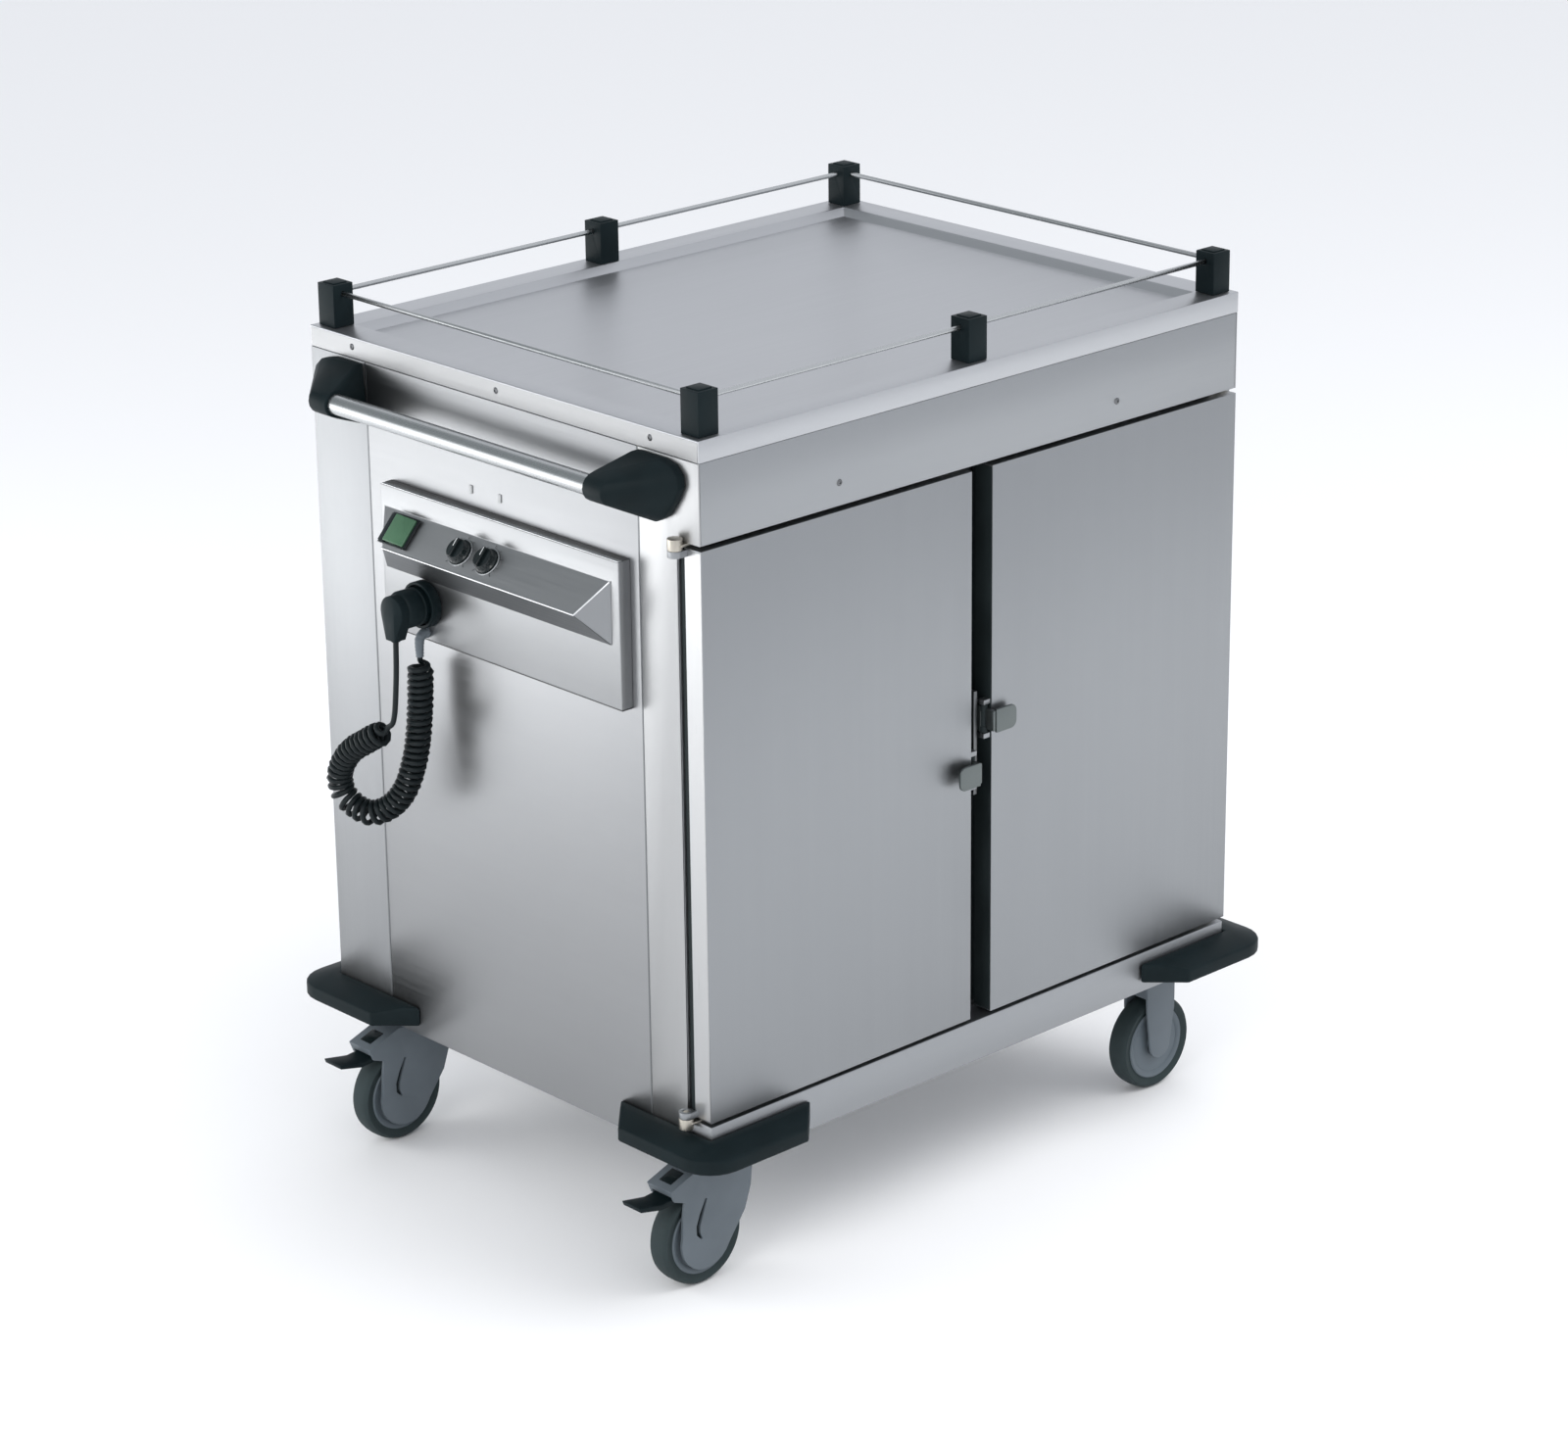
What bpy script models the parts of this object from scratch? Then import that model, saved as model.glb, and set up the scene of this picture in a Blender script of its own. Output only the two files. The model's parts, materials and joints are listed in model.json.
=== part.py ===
"""A heated, insulated banquet trolley: two chambers with doors, a control panel and four casters."""

import math

import bmesh
import bpy
from mathutils import Matrix, Vector

# Driving dimensions, in metres. X runs away from the handle, the doors face -Y, and the floor is at Z = 0.
LENGTH = 0.900
DEPTH = 0.700
CHASSIS_BOTTOM = 0.176
CHASSIS_TOP = 0.230
DOOR_BOTTOM = 0.236
DOOR_TOP = 0.9405
FASCIA_BOTTOM = 0.9465
SKIRT_BOTTOM = 1.0438
TOP = 1.070
TRAY_DEPTH = 0.010
SHEET = 0.002
GAP = 0.0003

DOOR_THICKNESS = 0.028
GASKET_DEPTH = 0.012
DOOR_EDGE = 0.449
MEETING_EDGE = 0.0175
HINGE_X = 0.4595
HINGE_RADIUS = 0.009

CHAMBER_WIDTH = 0.365
CHAMBER_CENTRE = 0.2125
CHAMBER_BACK = 0.290
CHAMBER_BOTTOM = 0.275
CHAMBER_TOP = 0.905
RUNNER_LEVELS = 7
RUNNER_FIRST = 0.335
RUNNER_PITCH = 0.080
RUNNER_DEPTH = 0.013
RUNNER_THICKNESS = 0.008

HANDLE_REACH = 0.0725
HANDLE_RADIUS = 0.0125
HANDLE_HEIGHT = 1.0055
GRIP_END_RADIUS = 0.0165
GRIP_INNER = 0.233
GRIP_OUTER = 0.265

BUMPER_REACH = 0.045
BUMPER_LEG = 0.160

POST_WIDTH = 0.030
POST_INSET = 0.008
POST_HEIGHT = 0.053
RAIL_RADIUS = 0.0033
RAIL_DROP = 0.012

WHEEL_RADIUS = 0.0625
WHEEL_HALF_WIDTH = 0.016
CASTER_X = 0.380
CASTER_Y = 0.285
CASTER_TRAIL = 0.040
AXLE_RADIUS = 0.005

CORD_RADIUS = 0.0035
COIL_RADIUS = 0.0165

# Derived places.
END = LENGTH / 2
SIDE = DEPTH / 2
BODY_FRONT = -SIDE + DOOR_THICKNESS + GASKET_DEPTH
DOOR_BACK = -SIDE + DOOR_THICKNESS
HINGE_Y = (DOOR_BACK + BODY_FRONT) / 2 - 0.002
CABINET_X = (HANDLE_REACH - BUMPER_REACH) / 2
SEAM = 0.246
FLOOR_FRAME_Z = CHASSIS_BOTTOM + 0.002
CHASSIS_WALL = 0.003
LID_BACK = BODY_FRONT + SHEET

# The curly cord's centre line, from the gland down and round to the straight lead, then up to the plug.
COIL_ROUTE = [
    (-0.481, 0.123, 0.7070),
    (-0.481, 0.124, 0.672),
    (-0.482, 0.127, 0.629),
    (-0.486, 0.132, 0.581),
    (-0.494, 0.144, 0.536),
    (-0.505, 0.163, 0.509),
    (-0.520, 0.188, 0.499),
    (-0.531, 0.216, 0.515),
    (-0.537, 0.218, 0.546),
    (-0.537, 0.196, 0.580),
    (-0.532, 0.161, 0.605),
    (-0.528, 0.144, 0.616),
    (-0.525, 0.133, 0.626),
]
LEAD_ROUTE = [
    (-0.52484, 0.13242, 0.62653),
    (-0.52342, 0.12720, 0.63128),
    (-0.5230, 0.1230, 0.645),
    (-0.5225, 0.1205, 0.666),
    (-0.5210, 0.1190, 0.700),
    (-0.5205, 0.1180, 0.7367),
]

# Colour, roughness and metallic value of each finish.
STEEL = ((0.62, 0.63, 0.65), 0.35, 1.0)
BRIGHT_STEEL = ((0.78, 0.79, 0.80), 0.2, 1.0)
DULL_STEEL = ((0.45, 0.46, 0.48), 0.5, 1.0)
BLACK_PLASTIC = ((0.02, 0.025, 0.027), 0.45, 0.0)
GREY_PLASTIC = ((0.20, 0.23, 0.26), 0.5, 0.0)
RUBBER = ((0.03, 0.035, 0.04), 0.7, 0.0)
GREEN_PLASTIC = ((0.08, 0.22, 0.10), 0.35, 0.0)
FOAM = ((0.85, 0.80, 0.62), 0.9, 0.0)
BRASS = ((0.65, 0.55, 0.35), 0.35, 1.0)


def clear_scene():
    for obj in list(bpy.data.objects):
        bpy.data.objects.remove(obj, do_unlink=True)


def new_collection(name, hidden=False):
    collection = bpy.data.collections.new(name)
    collection.hide_render = hidden
    bpy.context.scene.collection.children.link(collection)
    return collection


clear_scene()
PARTS = new_collection("insulated_food_carrier")
CUTTERS = new_collection("cutters", hidden=True)
FRAME = bpy.data.objects.new("cabinet_frame", None)
FRAME.location = (CABINET_X, 0, 0)
PARTS.objects.link(FRAME)


# ---------------------------------------------------------------- meshes, in the cabinet's coordinates


def mesh_from(bm):
    mesh = bpy.data.meshes.new("shape")
    bmesh.ops.recalc_face_normals(bm, faces=bm.faces)
    bm.to_mesh(mesh)
    bm.free()
    return mesh


def box(low, high):
    """A box between two corners."""
    size = [b - a for a, b in zip(low, high)]
    centre = [(a + b) / 2 for a, b in zip(low, high)]
    bm = bmesh.new()
    bmesh.ops.create_cube(bm, size=1, matrix=Matrix.Translation(centre) @ Matrix.Diagonal((*size, 1)))
    return mesh_from(bm)


def rod(start, end, radius, sides=16, end_radius=None):
    """A round bar from one point to another, tapered where end_radius is given."""
    start, end = Vector(start), Vector(end)
    turn = (end - start).to_track_quat("Z", "Y").to_matrix().to_4x4()
    bm = bmesh.new()
    bmesh.ops.create_cone(
        bm,
        cap_ends=True,
        segments=sides,
        radius1=radius,
        radius2=radius if end_radius is None else end_radius,
        depth=(end - start).length,
        matrix=Matrix.Translation((start + end) / 2) @ turn,
    )
    return mesh_from(bm)


def hull(points):
    """The convex solid round a set of points."""
    bm = bmesh.new()
    for point in points:
        bm.verts.new(point)
    found = bmesh.ops.convex_hull(bm, input=bm.verts)
    inside = dict.fromkeys(found["geom_interior"] + found["geom_unused"])
    loose = [item for item in inside if isinstance(item, bmesh.types.BMVert)]
    bmesh.ops.delete(bm, geom=loose, context="VERTS")
    bmesh.ops.dissolve_limit(bm, angle_limit=0.002, verts=bm.verts, edges=bm.edges)
    return mesh_from(bm)


def corners(low, high):
    """The eight corners of a box, for a hull."""
    return [(x, y, z) for x in (low[0], high[0]) for y in (low[1], high[1]) for z in (low[2], high[2])]


def disc_points(centre, radius, low, high, axis, sides=16):
    """Points of a disc's two rims, for a hull. The disc's axis is X, Y or Z, from low to high along it."""
    first, second = [k for k in range(3) if k != axis]
    points = []
    for k in range(sides):
        angle = 2 * math.pi * k / sides
        for end in (low, high):
            point = [0, 0, 0]
            point[axis] = end
            point[first] = centre[0] + radius * math.cos(angle)
            point[second] = centre[1] + radius * math.sin(angle)
            points.append(tuple(point))
    return points


def welded(curve):
    """The closed mesh of a curve, its caps welded."""
    source = bpy.data.objects.new("curve", curve)
    PARTS.objects.link(source)
    depsgraph = bpy.context.evaluated_depsgraph_get()
    mesh = bpy.data.meshes.new_from_object(source.evaluated_get(depsgraph))
    bpy.data.objects.remove(source, do_unlink=True)
    bm = bmesh.new()
    bm.from_mesh(mesh)
    bmesh.ops.remove_doubles(bm, verts=bm.verts, dist=1e-6)
    bpy.data.meshes.remove(mesh)
    return mesh_from(bm)


def prism(outline, low, high, axis="Z"):
    """A flat outline between two planes. The outline is (x, y) for axis Z, (x, z) for Y and (y, z) for X."""
    curve = bpy.data.curves.new("outline", "CURVE")
    curve.dimensions = "2D"
    curve.fill_mode = "BOTH"
    curve.extrude = (high - low) / 2
    spline = curve.splines.new("POLY")
    spline.points.add(len(outline) - 1)
    for point, (u, v) in zip(spline.points, outline):
        point.co = (u, v, 0, 1)
    spline.use_cyclic_u = True
    columns = {
        "X": ((0, 1, 0), (0, 0, 1), (1, 0, 0)),
        "Y": ((1, 0, 0), (0, 0, 1), (0, 1, 0)),
        "Z": ((1, 0, 0), (0, 1, 0), (0, 0, 1)),
    }[axis]
    mesh = welded(curve)
    mesh.transform(Matrix(columns).transposed().to_4x4())
    middle = Vector({"X": (1, 0, 0), "Y": (0, 1, 0), "Z": (0, 0, 1)}[axis]) * (low + high) / 2
    mesh.transform(Matrix.Translation(middle))
    bm = bmesh.new()
    bm.from_mesh(mesh)
    return mesh_from(bm)


def tube_curve(points, radius, rounding=2, radii=None, cyclic=False):
    """A curve with a round section through the points."""
    curve = bpy.data.curves.new("tube", "CURVE")
    curve.dimensions = "3D"
    curve.bevel_depth = radius
    curve.bevel_resolution = rounding
    curve.render_resolution_u = 0
    curve.use_fill_caps = not cyclic
    spline = curve.splines.new("POLY")
    spline.points.add(len(points) - 1)
    for k, (point, place) in enumerate(zip(spline.points, points)):
        point.co = (*place, 1)
        point.radius = radii[k] / radius if radii else 1
    spline.use_cyclic_u = cyclic
    spline.use_smooth = True
    return curve


def smooth_route(points, step):
    """Points about a step apart on a smooth curve through the given points."""
    ends = [Vector(points[0]) * 2 - Vector(points[1]), Vector(points[-1]) * 2 - Vector(points[-2])]
    guide = [ends[0], *map(Vector, points), ends[1]]
    fine = []
    for a, b, c, d in zip(guide, guide[1:], guide[2:], guide[3:]):
        for k in range(12):
            t = k / 12
            square = 2 * a - 5 * b + 4 * c - d
            cube = 3 * b - a - 3 * c + d
            fine.append((2 * b + (c - a) * t + square * t * t + cube * t**3) / 2)
    fine.append(guide[-2])
    walked = [0.0]
    for a, b in zip(fine, fine[1:]):
        walked.append(walked[-1] + (b - a).length)
    count = max(2, round(walked[-1] / step))
    route, at = [], 0
    for k in range(count + 1):
        target = walked[-1] * k / count
        while at < len(fine) - 2 and walked[at + 1] < target:
            at += 1
        share = (target - walked[at]) / (walked[at + 1] - walked[at])
        route.append(tuple(fine[at].lerp(fine[at + 1], min(share, 1.0))))
    return route


# ---------------------------------------------------------------- objects


def finish(obj, look):
    colour, roughness, metallic = look
    material = bpy.data.materials.new(obj.name + "_finish")
    material.use_nodes = True
    shader = material.node_tree.nodes["Principled BSDF"]
    shader.inputs["Base Color"].default_value = (*colour, 1)
    shader.inputs["Roughness"].default_value = roughness
    shader.inputs["Metallic"].default_value = metallic
    obj.data.materials.append(material)


def add(name, data, look, origin=(0, 0, 0)):
    """Adds a named part from data in the cabinet's coordinates, with its origin where a joint needs it."""
    data.transform(Matrix.Translation(-Vector(origin)))
    obj = bpy.data.objects.new(name, data)
    obj.location = origin
    obj.parent = FRAME
    PARTS.objects.link(obj)
    finish(obj, look)
    return obj


def shape_with(obj, mesh, operation):
    """Cuts the mesh out of the part, or joins it on. The mesh is in the cabinet's coordinates."""
    tool = bpy.data.objects.new(f"{obj.name}_{operation.lower()}_{len(obj.modifiers)}", mesh)
    tool.parent = FRAME
    tool.hide_render = True
    tool.display_type = "WIRE"
    CUTTERS.objects.link(tool)
    modifier = obj.modifiers.new(tool.name, "BOOLEAN")
    modifier.operation = operation
    modifier.solver = "EXACT"
    modifier.object = tool


def cut(obj, *meshes):
    for mesh in meshes:
        shape_with(obj, mesh, "DIFFERENCE")


def join(obj, *meshes):
    for mesh in meshes:
        shape_with(obj, mesh, "UNION")


def turned(name, profile, look, axis, origin, steps=24):
    """A solid of revolution about an axis. The profile, (radius, height), is a loop or ends on the axis."""
    turn = Vector(axis).to_track_quat("Z", "Y").to_matrix().to_4x4()
    bm = bmesh.new()
    line = [bm.verts.new((radius, 0, height)) for radius, height in profile]
    if profile[0][0] > 0:
        line.append(line[0])
    for a, b in zip(line, line[1:]):
        bm.edges.new((a, b))
    mesh = bpy.data.meshes.new(name)
    bm.to_mesh(mesh)
    bm.free()
    obj = bpy.data.objects.new(name, mesh)
    obj.matrix_local = Matrix.Translation(origin) @ turn
    obj.parent = FRAME
    PARTS.objects.link(obj)
    screw = obj.modifiers.new("turning", "SCREW")
    screw.steps = steps
    screw.render_steps = steps
    screw.use_merge_vertices = True
    screw.merge_threshold = 0.00001
    screw.use_smooth_shade = False
    finish(obj, look)
    return obj


# ---------------------------------------------------------------- cabinet


def make_chassis_and_casing():
    """The chassis pan with its lid under the doors, the outer sheets and the front frame."""
    inset = SHEET + GAP
    base = add(
        "base_frame",
        box((-END + inset, -SIDE + 0.001, CHASSIS_BOTTOM), (END - inset, SIDE - inset, CHASSIS_TOP)),
        STEEL,
    )
    wall = CHASSIS_WALL
    cut(
        base,
        box(
            (-END + inset + wall, -SIDE + 0.001 + wall, CHASSIS_BOTTOM + wall),
            (END - inset - wall, SIDE - inset - wall, CHASSIS_TOP - wall),
        ),
        box(
            (-END + inset + wall, LID_BACK, CHASSIS_TOP - wall - 0.01),
            (END - inset - wall, SIDE - inset - wall, CHASSIS_TOP + 0.01),
        ),
    )
    top = SKIRT_BOTTOM - GAP
    plan = [
        (-END, SEAM + 0.0005),
        (-END, SIDE),
        (END, SIDE),
        (END, -SIDE + 0.001),
        (END - SHEET, -SIDE + 0.001),
        (END - SHEET, SIDE - SHEET),
        (-END + SHEET, SIDE - SHEET),
        (-END + SHEET, SEAM + 0.0005),
    ]
    casing = add("outer_casing", prism(plan, FLOOR_FRAME_Z, top), STEEL)
    cut(
        casing,
        box((END - 0.01, -SIDE - 0.01, FLOOR_FRAME_Z - 0.01), (END + 0.01, BODY_FRONT, FASCIA_BOTTOM)),
    )
    side = [
        (-SEAM - 0.0005, FLOOR_FRAME_Z),
        (-SEAM - 0.0005, top),
        (-SIDE + 0.001, top),
        (-SIDE + 0.001, FASCIA_BOTTOM),
        (BODY_FRONT, FASCIA_BOTTOM),
        (BODY_FRONT, FLOOR_FRAME_Z),
    ]
    add("front_pillar", prism(side, -END, -END + SHEET, "X"), STEEL)
    add(
        "service_panel",
        box((-END, -SEAM + 0.0005, FLOOR_FRAME_Z), (-END + SHEET, SEAM - 0.0005, top)),
        STEEL,
    )
    front = -SIDE + 0.001
    profile = [
        (front, top),
        (front, FASCIA_BOTTOM),
        (BODY_FRONT - 0.001, FASCIA_BOTTOM),
        (BODY_FRONT - 0.001, FASCIA_BOTTOM + SHEET),
        (front + SHEET, FASCIA_BOTTOM + SHEET),
        (front + SHEET, top),
    ]
    add("fascia", prism(profile, -END + inset, END - inset, "X"), STEEL)
    frame = add(
        "front_frame",
        box(
            (-END + inset, BODY_FRONT, CHASSIS_TOP + GAP),
            (END - inset, BODY_FRONT + SHEET, FASCIA_BOTTOM - GAP),
        ),
        STEEL,
    )
    for side_sign in (-1, 1):
        centre = side_sign * CHAMBER_CENTRE
        cut(
            frame,
            box(
                (centre - CHAMBER_WIDTH / 2, BODY_FRONT - 0.01, CHAMBER_BOTTOM),
                (centre + CHAMBER_WIDTH / 2, BODY_FRONT + 0.01, CHAMBER_TOP),
            ),
        )


def make_top_cover():
    """The cover: a skirt, a sloping border and a shallow tray, pressed from one sheet."""
    bm = bmesh.new()
    bmesh.ops.create_grid(bm, x_segments=1, y_segments=1, size=0.5)
    place = Matrix.Translation((0, 0, TOP)) @ Matrix.Diagonal((LENGTH, DEPTH, 1, 1))
    bmesh.ops.transform(bm, matrix=place, verts=bm.verts)
    bm.faces.ensure_lookup_table()
    face = bm.faces[0]
    for border in (POST_INSET + POST_WIDTH + 0.001, TRAY_DEPTH):
        bmesh.ops.inset_region(bm, faces=[face], thickness=border, use_boundary=True, use_even_offset=True)
    bmesh.ops.translate(bm, vec=(0, 0, -TRAY_DEPTH), verts=list(face.verts))
    rim = [edge for edge in bm.edges if edge.is_boundary]
    skirt = bmesh.ops.extrude_edge_only(bm, edges=rim)["geom"]
    for vert in [item for item in skirt if isinstance(item, bmesh.types.BMVert)]:
        vert.co.z = SKIRT_BOTTOM
    mesh = mesh_from(bm)
    cover = add("top_cover", mesh, STEEL)
    up = max(mesh.polygons, key=lambda polygon: polygon.area).normal.z
    shell = cover.modifiers.new("sheet", "SOLIDIFY")
    shell.thickness = SHEET
    shell.offset = -1 if up > 0 else 1
    shell.use_even_offset = True


def runners(centre):
    """The pressed tray runners that stand in from both sides of a chamber, as one mesh."""
    bm = bmesh.new()
    front = BODY_FRONT + SHEET + GAP
    for side_sign in (-1, 1):
        ends = sorted(side_sign * (CHAMBER_WIDTH / 2 + shift) for shift in (0.001, -RUNNER_DEPTH))
        for level in range(RUNNER_LEVELS):
            top = RUNNER_FIRST + level * RUNNER_PITCH
            low = (centre + ends[0], front + 0.010, top - RUNNER_THICKNESS)
            bm.from_mesh(box(low, (centre + ends[1], CHAMBER_BACK + 0.001, top)))
    return mesh_from(bm)


def make_chambers():
    """The two chamber liners, the foam round them and the heater under each."""
    liner_front = BODY_FRONT + SHEET + GAP
    foam_inset = SHEET + 2 * GAP
    foam = add(
        "insulation_core",
        box(
            (-END + foam_inset, BODY_FRONT + SHEET + GAP, CHASSIS_TOP + GAP),
            (END - foam_inset, SIDE - foam_inset, TOP - TRAY_DEPTH - SHEET - GAP),
        ),
        FOAM,
    )
    clear = CHASSIS_WALL + GAP
    inset = SHEET + GAP
    join(
        foam,
        box(
            (-END + inset + clear, -SIDE + 0.001 + clear, CHASSIS_BOTTOM + clear),
            (END - inset - clear, SIDE - inset - clear, CHASSIS_TOP + 0.003),
        ),
        box(
            (-END + foam_inset, -SIDE + 0.001 + SHEET + GAP, FASCIA_BOTTOM + SHEET + GAP),
            (END - foam_inset, 0, TOP - TRAY_DEPTH - SHEET - GAP),
        ),
    )
    cut(
        foam,
        box((-END, -SIDE, CHASSIS_TOP - clear), (END, LID_BACK + GAP, FASCIA_BOTTOM)),
    )
    for name, side_sign in (("left", -1), ("right", 1)):
        centre = side_sign * CHAMBER_CENTRE
        half = CHAMBER_WIDTH / 2 + SHEET
        low = (centre - half, liner_front, CHAMBER_BOTTOM - SHEET)
        high = (centre + half, CHAMBER_BACK + SHEET, CHAMBER_TOP + SHEET)
        liner = add(f"{name}_liner", box(low, high), BRIGHT_STEEL)
        cut(
            liner,
            box(
                (centre - CHAMBER_WIDTH / 2, liner_front - 0.01, CHAMBER_BOTTOM),
                (centre + CHAMBER_WIDTH / 2, CHAMBER_BACK, CHAMBER_TOP),
            ),
        )
        join(liner, runners(centre))
        pocket_low = (low[0] - GAP, liner_front - 0.01, low[2] - GAP)
        cut(foam, box(pocket_low, [value + GAP for value in high]))
        make_heater(name, centre, foam)


def make_heater(name, centre, foam):
    """A tubular element laid in a serpentine under the chamber floor, in a pocket of the foam."""
    radius, margin = 0.004, 0.006
    z = CHAMBER_BOTTOM - SHEET - GAP - margin
    runs, half_width, front, back = 5, 0.130, -0.220, 0.200
    points = []
    for k in range(runs):
        x = centre - half_width + 2 * half_width * k / (runs - 1)
        ends = (front, back) if k % 2 == 0 else (back, front)
        points += [(x, ends[0], z), (x, ends[1], z)]
    add(f"{name}_heater", tube_curve(points, radius), DULL_STEEL)
    cut(
        foam,
        box(
            (centre - half_width - margin, front - margin, z - margin),
            (centre + half_width + margin, back + margin, CHAMBER_BOTTOM),
        ),
    )


# ---------------------------------------------------------------- doors


LATCH_X = 0.0105
LATCH_Y = -SIDE + 0.007
LATCH_HEIGHT = 0.036
LATCH_MIDDLE = {"left": 0.561, "right": 0.622}
LATCH_TRIM = 0.003
LUG_HEIGHT = 0.008
LUG_GAP = 0.002
PIN_RADIUS = 0.004


def make_door(name, side_sign):
    """A door: its outer skin with the hinge lugs, its foam core with the inner panel, and its gasket."""
    pivot = (side_sign * HINGE_X, HINGE_Y, DOOR_BOTTOM)
    outer, inner = side_sign * DOOR_EDGE, side_sign * MEETING_EDGE
    low_x, high_x = min(outer, inner), max(outer, inner)
    sheet = 0.0015
    skin = add(
        f"{name}_door_skin",
        box((low_x, -SIDE, DOOR_BOTTOM), (high_x, DOOR_BACK, DOOR_TOP)),
        STEEL,
        pivot,
    )
    cut(
        skin,
        box(
            (low_x + sheet, -SIDE + sheet, DOOR_BOTTOM + sheet),
            (high_x - sheet, DOOR_BACK + 0.01, DOOR_TOP - sheet),
        ),
    )
    for bottom in (DOOR_BOTTOM + LUG_GAP, DOOR_TOP - LUG_GAP - LUG_HEIGHT):
        x, top = side_sign * HINGE_X, bottom + LUG_HEIGHT
        web_end = side_sign * (DOOR_EDGE - 0.001)
        join(
            skin,
            box(
                (min(x, web_end), DOOR_BACK - 0.005, bottom),
                (max(x, web_end), DOOR_BACK - 0.001, top),
            ),
            rod((x, HINGE_Y, bottom), (x, HINGE_Y, top), HINGE_RADIUS),
        )
        cut(skin, rod((x, HINGE_Y, bottom - 0.01), (x, HINGE_Y, top + 0.01), PIN_RADIUS + 0.0004))
    for end in (-1, 1):
        middle = LATCH_MIDDLE[name] + end * (LATCH_HEIGHT / 2 + 0.0035)
        reach = sorted((side_sign * 0.006, side_sign * (MEETING_EDGE + 0.001)))
        join(skin, box((reach[0], -SIDE + 0.002, middle - 0.003), (reach[1], -SIDE + 0.012, middle + 0.003)))
    edge = sheet + GAP
    add(
        f"{name}_door_core",
        box((low_x + edge, -SIDE + edge, DOOR_BOTTOM + edge), (high_x - edge, DOOR_BACK, DOOR_TOP - edge)),
        BRIGHT_STEEL,
        pivot,
    )
    rim, band = 0.003, 0.013
    seal = add(
        f"{name}_door_gasket",
        box(
            (low_x + rim, DOOR_BACK + GAP, DOOR_BOTTOM + rim),
            (high_x - rim, BODY_FRONT - 0.0005, DOOR_TOP - rim),
        ),
        RUBBER,
        pivot,
    )
    cut(
        seal,
        box(
            (low_x + rim + band, DOOR_BACK - 0.01, DOOR_BOTTOM + rim + band),
            (high_x - rim - band, BODY_FRONT + 0.01, DOOR_TOP - rim - band),
        ),
    )


def make_latch(name, side_sign):
    """A latch lever: a hub in the gap at the door's meeting edge, a thumb tab and a tongue."""
    low, high = LATCH_MIDDLE[name] - LATCH_HEIGHT / 2, LATCH_MIDDLE[name] + LATCH_HEIGHT / 2
    x = side_sign * LATCH_X
    pivot = (x, LATCH_Y, low)
    hub = rod((x, LATCH_Y, low), (x, LATCH_Y, high), 0.005)
    latch = add(f"{name}_latch", hub, DULL_STEEL, pivot)

    def plate(inner, outer, front, back, trim=0.0):
        ends = sorted((side_sign * inner, side_sign * outer))
        return box((ends[0], front, low + trim), (ends[1], back, high - trim))

    tab_front, tab_back = -SIDE - 0.013, -SIDE - 0.009
    join(
        latch,
        plate(LATCH_X - 0.001, LATCH_X + 0.005, tab_back - 0.002, LATCH_Y, LATCH_TRIM + 0.002),
        plate(LATCH_X + 0.003, 0.048, tab_front, tab_back, LATCH_TRIM),
        plate(LATCH_X - 0.005, LATCH_X - 0.002, LATCH_Y, LATCH_Y + 0.013, 0.002),
    )


def make_keeper():
    """The keeper on the centre post, between the two latch tongues."""
    back = BODY_FRONT - GAP
    keeper = add("latch_keeper", box((-0.012, back - 0.002, 0.515), (0.012, back, 0.668)), DULL_STEEL)
    join(keeper, box((-0.003, -SIDE + 0.010, 0.525), (0.003, back - 0.001, 0.658)))


def make_hinge_bracket(name, side_sign, top):
    """A hinge bracket: a plate in the gap above or below the door, a knuckle and the lug's pin."""
    x = side_sign * HINGE_X
    if top:
        plate_low, plate_high = FASCIA_BOTTOM - GAP - 0.003, FASCIA_BOTTOM - GAP
        knuckle_low, knuckle_high = DOOR_TOP - LUG_GAP + 0.0005, FASCIA_BOTTOM + 0.0060
        pin_low, pin_high = DOOR_TOP - LUG_GAP - LUG_HEIGHT + 0.0005, DOOR_TOP
    else:
        plate_low, plate_high = CHASSIS_TOP + GAP, CHASSIS_TOP + GAP + 0.003
        knuckle_low, knuckle_high = CHASSIS_TOP - 0.0060, DOOR_BOTTOM + LUG_GAP - 0.0005
        pin_low, pin_high = DOOR_BOTTOM, DOOR_BOTTOM + LUG_GAP + LUG_HEIGHT - 0.0005
    reach = sorted((x, side_sign * (END - 0.025)))
    plate = box((reach[0], HINGE_Y - 0.010, plate_low), (reach[1], BODY_FRONT - GAP, plate_high))
    bracket = add(name, plate, BRASS)
    join(
        bracket,
        rod((x, HINGE_Y, knuckle_low), (x, HINGE_Y, knuckle_high), HINGE_RADIUS),
        rod((x, HINGE_Y, pin_low), (x, HINGE_Y, pin_high), PIN_RADIUS),
    )


# ---------------------------------------------------------------- controls and cord

HOUSING_FACE = -END - 0.018
CONSOLE_REACH = 0.035
CONSOLE_TOP, CONSOLE_LIP, CONSOLE_BOTTOM = 0.880, 0.841, 0.802
SLOPE_NORMAL = Vector((CONSOLE_LIP - CONSOLE_TOP, 0, CONSOLE_REACH)).normalized()
SOCKET_Y, SOCKET_Z = 0.122, 0.7725
SOCKET_RADIUS = 0.0290
PLUG_RADIUS = 0.0235
ROCKER_TILT = 6
ROCKER_Y = 0.141


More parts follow.
